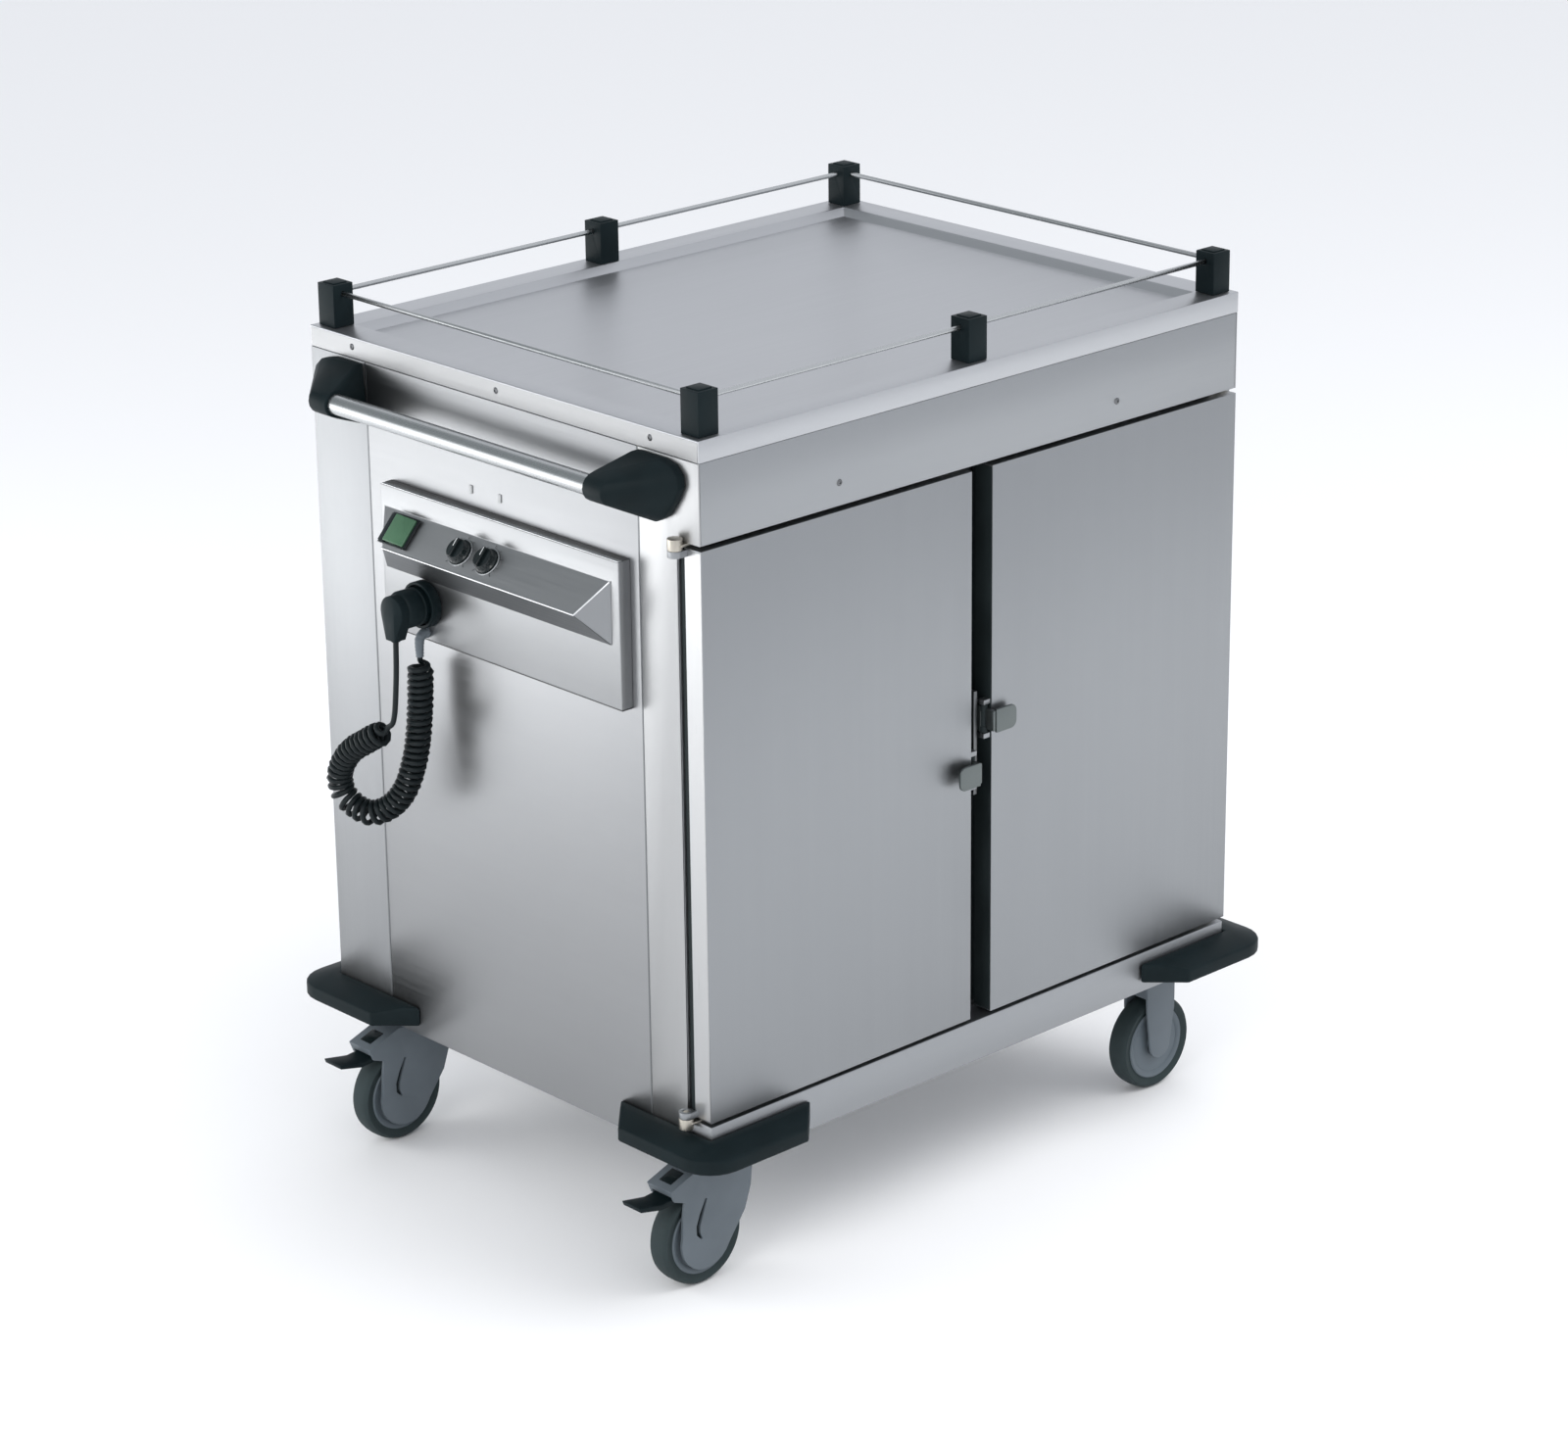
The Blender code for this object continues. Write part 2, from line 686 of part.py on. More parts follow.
def console_hull(inset=0.0, back=0.0):
    """The hipped console, its walls moved in by the inset and its back face moved back."""
    face = HOUSING_FACE + back
    lean = inset * CONSOLE_REACH / (CONSOLE_TOP - CONSOLE_LIP)
    return hull(
        [
            (face, 0.197 - inset, CONSOLE_TOP - inset),
            (face, -0.216 + inset, CONSOLE_TOP - inset),
            (face, -0.216 + inset, CONSOLE_BOTTOM + inset),
            (face, 0.197 - inset, CONSOLE_BOTTOM + inset),
            (HOUSING_FACE - CONSOLE_REACH + inset + lean, 0.160 - inset, CONSOLE_LIP),
            (HOUSING_FACE - CONSOLE_REACH + inset + lean, -0.190 + inset, CONSOLE_LIP),
        ]
    )


def make_control_housing():
    low, high = (HOUSING_FACE, -0.230, 0.726), (-END - GAP, 0.203, 0.905)
    housing = add("control_housing", box(low, high), STEEL)
    join(housing, console_hull(back=0.001))
    sheet = 0.0015
    cut(
        housing,
        box(
            (low[0] + sheet, low[1] + sheet, low[2] + sheet),
            (-END + 0.01, high[1] - sheet, high[2] - sheet),
        ),
        console_hull(inset=sheet, back=0.004),
    )


def slope_point(y, along=0.5, out=0.0):
    """A point on the console's upper face: along from its top edge (0) to its lip (1), and out from it."""
    top = Vector((HOUSING_FACE, y, CONSOLE_TOP))
    lip = Vector((HOUSING_FACE - CONSOLE_REACH, y, CONSOLE_LIP))
    return top.lerp(lip, along) + SLOPE_NORMAL * out


def make_controls():
    """The two dials, the rocker switch and the parking socket."""
    dial = [(0.0, 0.016), (0.0125, 0.016), (0.014, 0.0145), (0.0158, 0.002), (0.0158, 0.0), (0.0, 0.0)]
    for name, y in (("left", -0.017), ("right", 0.032)):
        turned(f"{name}_dial", dial, BLACK_PLASTIC, SLOPE_NORMAL, slope_point(y, 0.5, 0.0006), 20)
    make_rocker()

    def on_socket(out):
        return HOUSING_FACE - out, SOCKET_Y, SOCKET_Z

    socket = add("parking_socket", rod(on_socket(GAP), on_socket(0.014), SOCKET_RADIUS, 24), BLACK_PLASTIC)
    cut(socket, rod(on_socket(0.006), on_socket(0.020), PLUG_RADIUS + 0.0015, 24))


def make_rocker():
    """The rocker key, a shallow V below, tipped to one side on its hinge."""
    centre = slope_point(ROCKER_Y, 0.5, 0.001)
    down = Vector((-CONSOLE_REACH, 0, CONSOLE_LIP - CONSOLE_TOP)).normalized()
    tilt = Matrix.Rotation(math.radians(-ROCKER_TILT), 3, down)
    half_length, half_width = 0.0170, 0.0180
    section = [
        (-half_length, 0.0032),
        (0.0, 0.0002),
        (half_length, 0.0032),
        (half_length, 0.0068),
        (-half_length, 0.0068),
    ]
    points = []
    for across, height in section:
        offset = tilt @ (Vector((0, across, 0)) + SLOPE_NORMAL * height)
        points += [centre + offset + down * along for along in (-half_width, half_width)]
    add("power_rocker", hull(points), GREEN_PLASTIC, centre)


def make_cord():
    """The gland, the coiled cord's outer shape, the straight lead and the plug in its parking socket."""
    gland_x, gland_y, gland_end = COIL_ROUTE[0]
    gland_z = 0.7355
    elbow = [
        (HOUSING_FACE - GAP, gland_y, gland_z),
        (HOUSING_FACE - 0.005, gland_y, gland_z),
        (HOUSING_FACE - 0.010, gland_y, gland_z - 0.002),
        (gland_x, gland_y, gland_z - 0.0075),
        (gland_x, gland_y, gland_z - 0.018),
        (gland_x, gland_y, gland_end + GAP),
    ]
    radii = (0.0072, 0.0072, 0.0070, 0.0062, 0.0056, 0.0050)
    add("cord_gland", tube_curve(elbow, radii[0], 2, radii), GREY_PLASTIC)
    add("cord_coil", tube_curve(smooth_route(COIL_ROUTE, 0.014), COIL_RADIUS, 4), BLACK_PLASTIC)
    add("cord_lead", tube_curve(smooth_route(LEAD_ROUTE, 0.014), CORD_RADIUS, 2), BLACK_PLASTIC)
    make_plug()


def make_plug():
    """An angled mains plug: a round face in the socket and a thick tail block above the lead."""
    front = HOUSING_FACE - 0.0065
    tail_x, tail_y, tail_z = LEAD_ROUTE[-1]
    plug = add(
        "mains_plug",
        rod((front, SOCKET_Y, SOCKET_Z), (front - 0.036, SOCKET_Y, SOCKET_Z), PLUG_RADIUS, 20),
        BLACK_PLASTIC,
    )
    shoulder = disc_points((SOCKET_Y, SOCKET_Z), 0.0210, front - 0.034, front - 0.048, 0, 12)
    half, block_bottom = 0.0085, tail_z + 0.0025
    block = corners(
        (tail_x - half, tail_y - half, block_bottom),
        (tail_x + half, tail_y + half, SOCKET_Z),
    )
    collar = rod((tail_x, tail_y, tail_z + GAP), (tail_x, tail_y, block_bottom + 0.002), 0.0058, 12)
    join(plug, hull(shoulder + block), collar)


# ---------------------------------------------------------------- handle, gallery and bumpers


def make_handle():
    """The push bar between two brackets that sweep inward from their round-ended feet to their grips."""
    x = -END - HANDLE_REACH + GRIP_END_RADIUS
    foot = [
        (0.244, 0.970),
        (0.290, 0.966),
        (0.304, 0.974),
        (0.319, 0.995),
        (0.328, 1.013),
        (0.326, 1.027),
        (0.315, 1.037),
        (0.297, 1.041),
        (0.250, 1.041),
    ]
    for name, side_sign in (("front", -1), ("rear", 1)):
        base = [(level, side_sign * y, z) for level in (-END - 0.012, -END - GAP) for y, z in foot]
        grip_ends = sorted((side_sign * GRIP_INNER, side_sign * GRIP_OUTER))
        grip = disc_points((x, HANDLE_HEIGHT), GRIP_END_RADIUS, *grip_ends, 1, 16)
        add(f"handle_bracket_{name}", hull(base + grip), BLACK_PLASTIC)
    half = GRIP_INNER - GAP
    tube = tube_curve([(x, -half, HANDLE_HEIGHT), (x, half, HANDLE_HEIGHT)], HANDLE_RADIUS, 4)
    add("handle_tube", tube, BRIGHT_STEEL)


def make_gallery():
    """Six posts on the rim and one rod that runs round through them."""
    x, y = END - POST_INSET - POST_WIDTH / 2, SIDE - POST_INSET - POST_WIDTH / 2
    low, high = TOP + GAP, TOP + POST_HEIGHT
    loop = [(sx * x, sy * y, high - RAIL_DROP) for sx, sy in ((-1, -1), (1, -1), (1, 1), (-1, 1))]
    add("gallery_rail", tube_curve(loop, RAIL_RADIUS, 2, cyclic=True), BRIGHT_STEEL)
    places = {
        "front_left": (-x, -y),
        "front_middle": (0, -y),
        "front_right": (x, -y),
        "rear_left": (-x, y),
        "rear_middle": (0, y),
        "rear_right": (x, y),
    }
    half = POST_WIDTH / 2
    for name, (px, py) in places.items():
        post = add(
            f"gallery_post_{name}",
            box((px - half, py - half, low), (px + half, py + half, high)),
            BLACK_PLASTIC,
        )
        cut(post, welded(tube_curve(loop, RAIL_RADIUS + 0.0004, 2, cyclic=True)))


def bumper_outline(inset=0.0):
    """A corner bumper seen from above, at the +X +Y corner, with a rounded corner and slanting ends."""
    reach, radius = BUMPER_REACH - inset, BUMPER_REACH
    out_x, out_y = END + reach, SIDE + reach
    outline = [(END - 0.02, SIDE - BUMPER_LEG), (END, SIDE - BUMPER_LEG), (out_x, SIDE - BUMPER_LEG + reach)]
    for k in range(7):
        angle = math.pi / 2 * k / 6
        arc = radius - inset
        outline.append((out_x - arc + arc * math.cos(angle), out_y - arc + arc * math.sin(angle)))
    outline += [(END - BUMPER_LEG + reach, out_y), (END - BUMPER_LEG, SIDE), (END - BUMPER_LEG, SIDE - 0.02)]
    return outline


def make_bumpers():
    bottom, lip, top = 0.190, 0.208, 0.216
    full, small = bumper_outline(), bumper_outline(0.030)
    points = [(x, y, z) for x, y in full for z in (bottom, lip)] + [(x, y, top) for x, y in small]
    for name, sx, sy in (
        ("front_left", -1, -1),
        ("front_right", 1, -1),
        ("rear_left", -1, 1),
        ("rear_right", 1, 1),
    ):
        bumper = add(f"bumper_{name}", hull([(sx * x, sy * y, z) for x, y, z in points]), BLACK_PLASTIC)
        near = (sx * (END + GAP), sy * (SIDE + GAP))
        far = (sx * 0.1, sy * 0.1)
        low = (min(near[0], far[0]), min(near[1], far[1]), bottom - 0.01)
        high = (max(near[0], far[0]), max(near[1], far[1]), top + 0.01)
        cut(bumper, box(low, high))


# ---------------------------------------------------------------- casters

FORK_TOP = 0.1575
FORK_HALF_WIDTH = 0.0215
SLOT_HALF_WIDTH = 0.0172
SLOT_TOP = 0.132


def make_wheel(name, x, y):
    """A tyre on a dished hub, in one turned piece with its bore."""
    w = WHEEL_HALF_WIDTH
    half = [
        (AXLE_RADIUS + 0.0006, w),
        (0.013, w),
        (0.0145, 0.0125),
        (0.0455, 0.0120),
        (0.0490, 0.0140),
        (0.0575, 0.0155),
        (WHEEL_RADIUS, 0.0100),
    ]
    profile = half + [(radius, -height) for radius, height in reversed(half)]
    turned(name, profile, RUBBER, (0, 1, 0), (x, y, WHEEL_RADIUS), 24)


def make_fork(name, x, y, side_outline, pivot):
    """A fork or bracket: its side outline, with a slot for the wheel and the axle across it."""
    low, high = y - FORK_HALF_WIDTH, y + FORK_HALF_WIDTH
    fork = add(name, prism(side_outline, low, high, "Y"), GREY_PLASTIC, pivot)
    cut(fork, box((x - 0.08, y - SLOT_HALF_WIDTH, -0.02), (x + 0.09, y + SLOT_HALF_WIDTH, SLOT_TOP)))
    axle_half = FORK_HALF_WIDTH - 0.001
    join(fork, rod((x, y - axle_half, WHEEL_RADIUS), (x, y + axle_half, WHEEL_RADIUS), AXLE_RADIUS, 16))
    return fork


def ribbon(points, widths):
    """The outline of a band of varying width along a path, for a prism."""
    path = [Vector(point) for point in points]
    left, right = [], []
    for k, (place, width) in enumerate(zip(path, widths)):
        along = (path[min(k + 1, len(path) - 1)] - path[max(k - 1, 0)]).normalized()
        across = Vector((-along.y, along.x)) * width / 2
        left.append(tuple(place + across))
        right.append(tuple(place - across))
    return left + right[::-1]


def axle_eye(x, radius, start, end, count):
    """The round end of a fork's leg, from one angle to another about the axle, in degrees."""
    eye = []
    for k in range(count + 1):
        angle = math.radians(start + (end - start) * k / count)
        eye.append((x + radius * math.cos(angle), WHEEL_RADIUS + radius * math.sin(angle)))
    return eye


def make_swivel_caster(name, y):
    """A swivel caster with its head plate, fork, wheel and brake pedal. It trails towards the handle."""
    axis_x = -CASTER_X
    wheel_x = axis_x - CASTER_TRAIL
    plate_top = CHASSIS_BOTTOM - GAP
    plate = add(
        f"{name}_plate",
        box((axis_x - 0.052, y - 0.042, plate_top - 0.004), (axis_x + 0.052, y + 0.042, plate_top)),
        DULL_STEEL,
    )
    join(plate, rod((axis_x, y, FORK_TOP + 0.0006), (axis_x, y, plate_top - 0.001), 0.024, 20))
    front_edge = [
        (axis_x + 0.022, 0.080),
        (axis_x + 0.032, 0.109),
        (axis_x + 0.035, 0.137),
        (axis_x + 0.035, FORK_TOP),
    ]
    nose = [
        (axis_x - 0.050, FORK_TOP),
        (axis_x - 0.096, 0.141),
        (axis_x - 0.090, 0.126),
        (axis_x - 0.074, 0.1200),
        (axis_x - 0.077, 0.100),
    ]
    outline = front_edge + nose + axle_eye(wheel_x, 0.040, 163, 335, 12)
    fork = make_fork(f"{name}_fork", wheel_x, y, outline, (axis_x, y, FORK_TOP))
    slot_path = [
        (axis_x - 0.0400, 0.1150),
        (axis_x - 0.0480, 0.0970),
        (axis_x - 0.0535, 0.0820),
        (axis_x - 0.0535, 0.0720),
        (axis_x - 0.0480, 0.0640),
    ]
    slot = ribbon(slot_path, (0.003, 0.006, 0.0065, 0.006, 0.002))
    cut(fork, prism(slot, y - FORK_HALF_WIDTH - 0.005, y + FORK_HALF_WIDTH + 0.005, "Y"))
    make_wheel(f"{name}_wheel", wheel_x, y)
    pedal_x, pedal_z = axis_x - 0.0755, 0.1262
    blade = [
        (pedal_x, pedal_z + 0.0032),
        (pedal_x, pedal_z - 0.0035),
        (pedal_x - 0.030, pedal_z - 0.0065),
        (pedal_x - 0.063, pedal_z + 0.001),
        (pedal_x - 0.065, pedal_z + 0.007),
        (pedal_x - 0.030, pedal_z + 0.0005),
    ]
    half = 0.016
    pivot = (pedal_x, y, pedal_z)
    pedal = add(f"{name}_pedal", prism(blade, y - half, y + half, "Y"), BLACK_PLASTIC, pivot)
    join(pedal, rod((pedal_x, y - half, pedal_z), (pedal_x, y + half, pedal_z), 0.0042, 12))


def make_fixed_caster(name, y):
    """A fixed caster: a bracket with its top plate, and the wheel under it."""
    x = CASTER_X
    plate_top = CHASSIS_BOTTOM - GAP
    crown = [
        (x + 0.027, 0.110),
        (x + 0.027, plate_top - 0.002),
        (x - 0.027, plate_top - 0.002),
        (x - 0.025, 0.110),
    ]
    outline = crown + axle_eye(x, 0.019, 180, 360, 10)
    bracket = make_fork(f"{name}_bracket", x, y, outline, (x, y, plate_top))
    join(bracket, box((x - 0.052, y - 0.042, plate_top - 0.004), (x + 0.052, y + 0.042, plate_top)))
    make_wheel(f"{name}_wheel", x, y)


make_chassis_and_casing()
make_top_cover()
make_chambers()
for door_name, door_side in (("left", -1), ("right", 1)):
    make_door(door_name, door_side)
    make_latch(door_name, door_side)
    make_hinge_bracket(f"{door_name}_top_hinge", door_side, True)
    make_hinge_bracket(f"{door_name}_bottom_hinge", door_side, False)
make_keeper()
make_control_housing()
make_controls()
make_cord()
make_handle()
make_gallery()
make_bumpers()
make_swivel_caster("front_swivel", -CASTER_Y)
make_swivel_caster("rear_swivel", CASTER_Y)
make_fixed_caster("front_fixed", -CASTER_Y)
make_fixed_caster("rear_fixed", CASTER_Y)
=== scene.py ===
"""The looks of a heated, insulated food trolley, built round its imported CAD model."""

import json
import math

import bmesh
import bpy
from mathutils import Matrix, Vector


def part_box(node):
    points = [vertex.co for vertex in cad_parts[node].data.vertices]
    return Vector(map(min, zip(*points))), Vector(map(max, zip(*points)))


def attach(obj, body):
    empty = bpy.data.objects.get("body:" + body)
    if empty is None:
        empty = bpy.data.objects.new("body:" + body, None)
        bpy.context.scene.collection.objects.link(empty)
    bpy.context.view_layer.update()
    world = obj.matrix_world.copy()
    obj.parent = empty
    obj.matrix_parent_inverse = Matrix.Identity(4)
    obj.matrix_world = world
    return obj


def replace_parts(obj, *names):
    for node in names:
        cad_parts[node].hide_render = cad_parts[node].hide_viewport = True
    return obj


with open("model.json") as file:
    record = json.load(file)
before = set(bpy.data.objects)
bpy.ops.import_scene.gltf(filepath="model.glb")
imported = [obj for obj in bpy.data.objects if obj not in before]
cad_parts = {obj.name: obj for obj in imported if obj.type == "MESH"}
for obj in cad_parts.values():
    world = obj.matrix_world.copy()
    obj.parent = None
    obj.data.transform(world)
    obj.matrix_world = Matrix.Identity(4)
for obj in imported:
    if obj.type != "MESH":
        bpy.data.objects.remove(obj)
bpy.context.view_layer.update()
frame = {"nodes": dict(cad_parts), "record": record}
BODIES = {node: body for body, nodes in frame["record"]["behaviour"]["bodies"].items() for node in nodes}

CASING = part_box("outer_casing")
MIDDLE_X = (CASING[0].x + CASING[1].x) / 2
END_FACE = CASING[0].x
RIGHT_FACE = CASING[1].x
REAR_FACE = CASING[1].y
DOOR_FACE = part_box("left_door_skin")[0].y
JOINTS = {joint["name"]: joint for joint in frame["record"]["behaviour"]["joints"]}
SOCKET_GAP = 0.0003
HOUSING_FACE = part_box("parking_socket")[1].x + SOCKET_GAP

# ---------------------------------------------------------------- camera

AZIMUTH, ELEVATION, ROLL = math.radians(-43.0), math.radians(20.27), math.radians(-0.68)
CAMERA_DISTANCE = 5.845
TARGET = Vector((MIDDLE_X + 0.0006, -0.0006, 0.528))
SENSOR_MM = 36
LENS_MM = 106.2225


def make_camera():
    """The viewpoint: a direction, a distance and a roll round the cabinet's middle."""
    level = math.cos(ELEVATION)
    back = Vector((math.sin(AZIMUTH) * level, -math.cos(AZIMUTH) * level, math.sin(ELEVATION)))
    right = (-back).cross(Vector((0, 0, 1))).normalized()
    up = right.cross(-back).normalized()
    tilted_right = right * math.cos(ROLL) + up * math.sin(ROLL)
    tilted_up = back.cross(tilted_right)
    data = bpy.data.cameras.new("camera")
    data.sensor_width = SENSOR_MM
    data.lens = LENS_MM
    camera = bpy.data.objects.new("camera", data)
    bpy.context.scene.collection.objects.link(camera)
    turn = Matrix((tilted_right, tilted_up, back)).transposed().to_4x4()
    camera.matrix_world = Matrix.Translation(TARGET + back * CAMERA_DISTANCE) @ turn
    data.clip_start, data.clip_end = 0.1, 60
    bpy.context.scene.camera = camera


make_camera()

# ---------------------------------------------------------------- materials

BUMP_HEIGHT = 0.0003
MARK_SCALE, BAND_SCALE, CLOUD_SCALE = 330, 34, 2.3
MOTTLE_SCALE = 14
EVEN = (1, 1, 1)
ALONG_X = (0.02, 1, 1)
ALONG_Y = (1, 0.02, 1)
ALONG_Z = (1, 1, 0.02)


class Nodes:
    """A short way to build one material's nodes."""

    def __init__(self, name, colour, roughness, metallic=0.0):
        self.material = bpy.data.materials.new(name)
        self.material.use_nodes = True
        self.tree = self.material.node_tree
        self.shader = self.tree.nodes["Principled BSDF"]
        self.value("Base Color", (*colour, 1))
        self.value("Roughness", roughness)
        self.value("Metallic", metallic)

    def value(self, socket, amount):
        self.shader.inputs[socket].default_value = amount

    def add(self, kind, **inputs):
        node = self.tree.nodes.new("ShaderNode" + kind)
        for key, amount in inputs.items():
            node.inputs[key.replace("_", " ")].default_value = amount
        return node

    def link(self, source, target):
        self.tree.links.new(source, target)

    def noise(self, scale, stretch, detail):
        place = self.add("TexCoord")
        mapping = self.add("Mapping", Scale=stretch)
        noise = self.add("TexNoise", Scale=scale, Detail=detail, Roughness=0.6)
        self.link(place.outputs["Object"], mapping.inputs["Vector"])
        self.link(mapping.outputs["Vector"], noise.inputs["Vector"])
        return noise.outputs["Fac"]

    def between(self, factor, low, high, start=0.3, end=0.7):
        span = self.add("MapRange", From_Min=start, From_Max=end, To_Min=low, To_Max=high)
        self.link(factor, span.inputs["Value"])
        return span.outputs["Result"]

    def mixed(self, factor, first, second, start=0.3, end=0.7):
        """A colour between two, by a factor; either may be a socket."""
        mix = self.tree.nodes.new("ShaderNodeMix")
        mix.data_type = "RGBA"
        self.link(self.between(factor, 0.0, 1.0, start, end), mix.inputs["Factor"])
        for socket, colour in ((mix.inputs[6], first), (mix.inputs[7], second)):
            if isinstance(colour, bpy.types.NodeSocket):
                self.link(colour, socket)
            else:
                socket.default_value = (*colour, 1)
        return mix.outputs[2]

    def colour(self, socket):
        self.link(socket, self.shader.inputs["Base Color"])

    def roughness(self, socket):
        self.link(socket, self.shader.inputs["Roughness"])

    def bump(self, height, strength):
        bump = self.add("Bump", Strength=strength, Distance=BUMP_HEIGHT)
        self.link(height, bump.inputs["Height"])
        self.link(bump.outputs["Normal"], self.shader.inputs["Normal"])


def scaled(colour, factor):
    return tuple(min(1.0, channel * factor) for channel in colour)


def brushed(name, colour, roughness, grain, depth=0.05):
    """Brushed steel. The grain's stretch is small along the brush marks and large across them."""
    steel = Nodes(name, colour, roughness, 1.0)
    marks = steel.noise(MARK_SCALE, grain, 5.0)
    bands = steel.noise(BAND_SCALE, grain, 3.0)
    clouds = steel.noise(CLOUD_SCALE, EVEN, 2.0)
    base = steel.mixed(clouds, scaled(colour, 0.975), colour)
    banded = steel.mixed(bands, base, scaled(colour, 1.012))
    steel.colour(steel.mixed(marks, banded, scaled(colour, 1.03), 0.35, 0.95))
    steel.roughness(steel.between(marks, roughness - 0.03, roughness + 0.04))
    steel.bump(marks, depth * 0.5)
    return steel.material


def moulded(name, colour, roughness, light=None, grain=900, depth=0.12, specular=0.5):
    """A moulded plastic or rubber with a fine leathery skin and slight unevenness."""
    plastic = Nodes(name, colour, roughness)
    plastic.value("Specular IOR Level", specular)
    clouds = plastic.noise(MOTTLE_SCALE, EVEN, 3.0)
    light = light or tuple(min(1.0, channel * 1.5 + 0.002) for channel in colour)
    plastic.colour(plastic.mixed(clouds, colour, light))
    plastic.roughness(plastic.between(clouds, roughness - 0.06, roughness + 0.08))
    plastic.bump(plastic.noise(grain, EVEN, 2.0), depth)
    return plastic.material


DOOR_STEEL = brushed("door_steel", (0.302, 0.314, 0.326), 0.40, ALONG_Z)
# the pillar's steel painted lighter than the doors', as painted light for the far floor it reflects
LIT_PILLAR_STEEL = brushed("lit_pillar_steel", (0.43, 0.435, 0.438), 0.36, ALONG_Z)
# steel painted lighter, a painted highlight on the doors' outer side faces
LIT_FLANK_STEEL = brushed("lit_flank_steel", (0.46, 0.465, 0.468), 0.30, ALONG_Z, 0.02)
END_STEEL = brushed("end_steel", (0.290, 0.294, 0.298), 0.36, ALONG_Y)
# dark steel: painted shade on the console's underside, also used for the dark seams beside the service panel
SHADE_STEEL = brushed("shade_steel", (0.170, 0.178, 0.185), 0.42, ALONG_Y)
# steel a little darker than the housing's, painted shade on the console's hip face
HIP_SHADE_STEEL = brushed("hip_shade_steel", (0.300, 0.310, 0.320), 0.40, ALONG_Z)
# pale steel for painted highlights: along the console's lip and along the housing's top edge
PAINTED_HIGHLIGHT_STEEL = brushed("painted_highlight_steel", (0.86, 0.87, 0.88), 0.30, ALONG_Y, 0.02)
SHEET_STEEL = brushed("sheet_steel", (0.322, 0.334, 0.347), 0.40, ALONG_X)
CASING_STEEL = brushed("casing_steel", (0.315, 0.323, 0.331), 0.40, ALONG_Z)
PANEL_STEEL = brushed("panel_steel", (0.315, 0.321, 0.328), 0.33, ALONG_Y)
HOUSING_STEEL = brushed("housing_steel", (0.335, 0.342, 0.348), 0.34, ALONG_Y)
# the top cover's steel painted lighter than the other sheets, as painted light for the light its deck catches
LIT_DECK_STEEL = brushed("lit_deck_steel", (0.460, 0.471, 0.488), 0.40, ALONG_X)
INNER_STEEL = brushed("inner_steel", (0.52, 0.53, 0.545), 0.36, ALONG_Y, 0.006)
BAR_STEEL = brushed("bar_steel", (0.46, 0.475, 0.48), 0.27, ALONG_Y, 0.02)
PLATED_STEEL = brushed("plated_steel", (0.26, 0.28, 0.29), 0.42, EVEN, 0.05)
LATCH_GREY = brushed("latch_grey", (0.150, 0.168, 0.166), 0.42, EVEN, 0.04)
SCREW_STEEL = brushed("screw_steel", (0.17, 0.175, 0.18), 0.40, EVEN, 0.05)
HINGE_METAL = brushed("hinge_metal", (0.50, 0.47, 0.41), 0.36, EVEN, 0.05)
BLACK = moulded("black_plastic", (0.0035, 0.008, 0.0095), 0.50, specular=0.11)
BLACK_GLOSS = moulded("black_gloss_plastic", (0.006, 0.010, 0.011), 0.22, depth=0.05, specular=0.35)
CORD_BLACK = moulded("cord_sheath", (0.0045, 0.0075, 0.0085), 0.36, grain=500, depth=0.06, specular=0.18)
GASKET = moulded("gasket_rubber", (0.010, 0.015, 0.016), 0.6, specular=0.2)
# dark grey for painted shade in the strips along the control housing's top and bottom
GAP_SHADE_GREY = moulded("gap_shade_grey", (0.075, 0.076, 0.077), 0.6, specular=0.25)
FORK_GREY = moulded("fork_nylon", (0.104, 0.125, 0.142), 0.5, (0.123, 0.146, 0.165), specular=0.3)
HUB_GREY = moulded("hub_nylon", (0.098, 0.121, 0.139), 0.48, (0.116, 0.141, 0.160), specular=0.3)
TYRE = moulded("tyre_rubber", (0.018, 0.029, 0.031), 0.7, (0.028, 0.042, 0.044), 700, 0.2, 0.3)
ROCKER_GREEN = moulded("rocker_green", (0.045, 0.115, 0.062), 0.28, (0.075, 0.165, 0.095), 900, 0.02)
WHITE_INK = moulded("white_ink", (0.70, 0.72, 0.72), 0.5)
LENS_GREY = moulded("lens_grey", (0.36, 0.37, 0.37), 0.4)
PALE_INK = moulded("pale_ink", (0.060, 0.064, 0.066), 0.5)
FOAM = moulded("foam", (0.70, 0.64, 0.46), 0.9)

# ---------------------------------------------------------------- pieces

WELD_DISTANCE = 2e-6
FLAT_ANGLE = 0.004
HULL_FLAT_ANGLE = 0.002
SPLINE_STEPS = 24


def piece(name, data, look, body, smooth=30):
    """A new visible piece in the row's frame, on a CAD body."""
    obj = bpy.data.objects.new(name, data)
    bpy.context.scene.collection.objects.link(obj)
    obj.data.materials.clear()
    obj.data.materials.append(look)
    if smooth and isinstance(data, bpy.types.Mesh):
        data.shade_smooth()
        data.set_sharp_from_angle(angle=math.radians(smooth))
    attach(obj, body)
    return obj


def mesh_from(bm, name="shape"):
    mesh = bpy.data.meshes.new(name)
    bmesh.ops.recalc_face_normals(bm, faces=bm.faces)
    bm.to_mesh(mesh)
    bm.free()
    return mesh


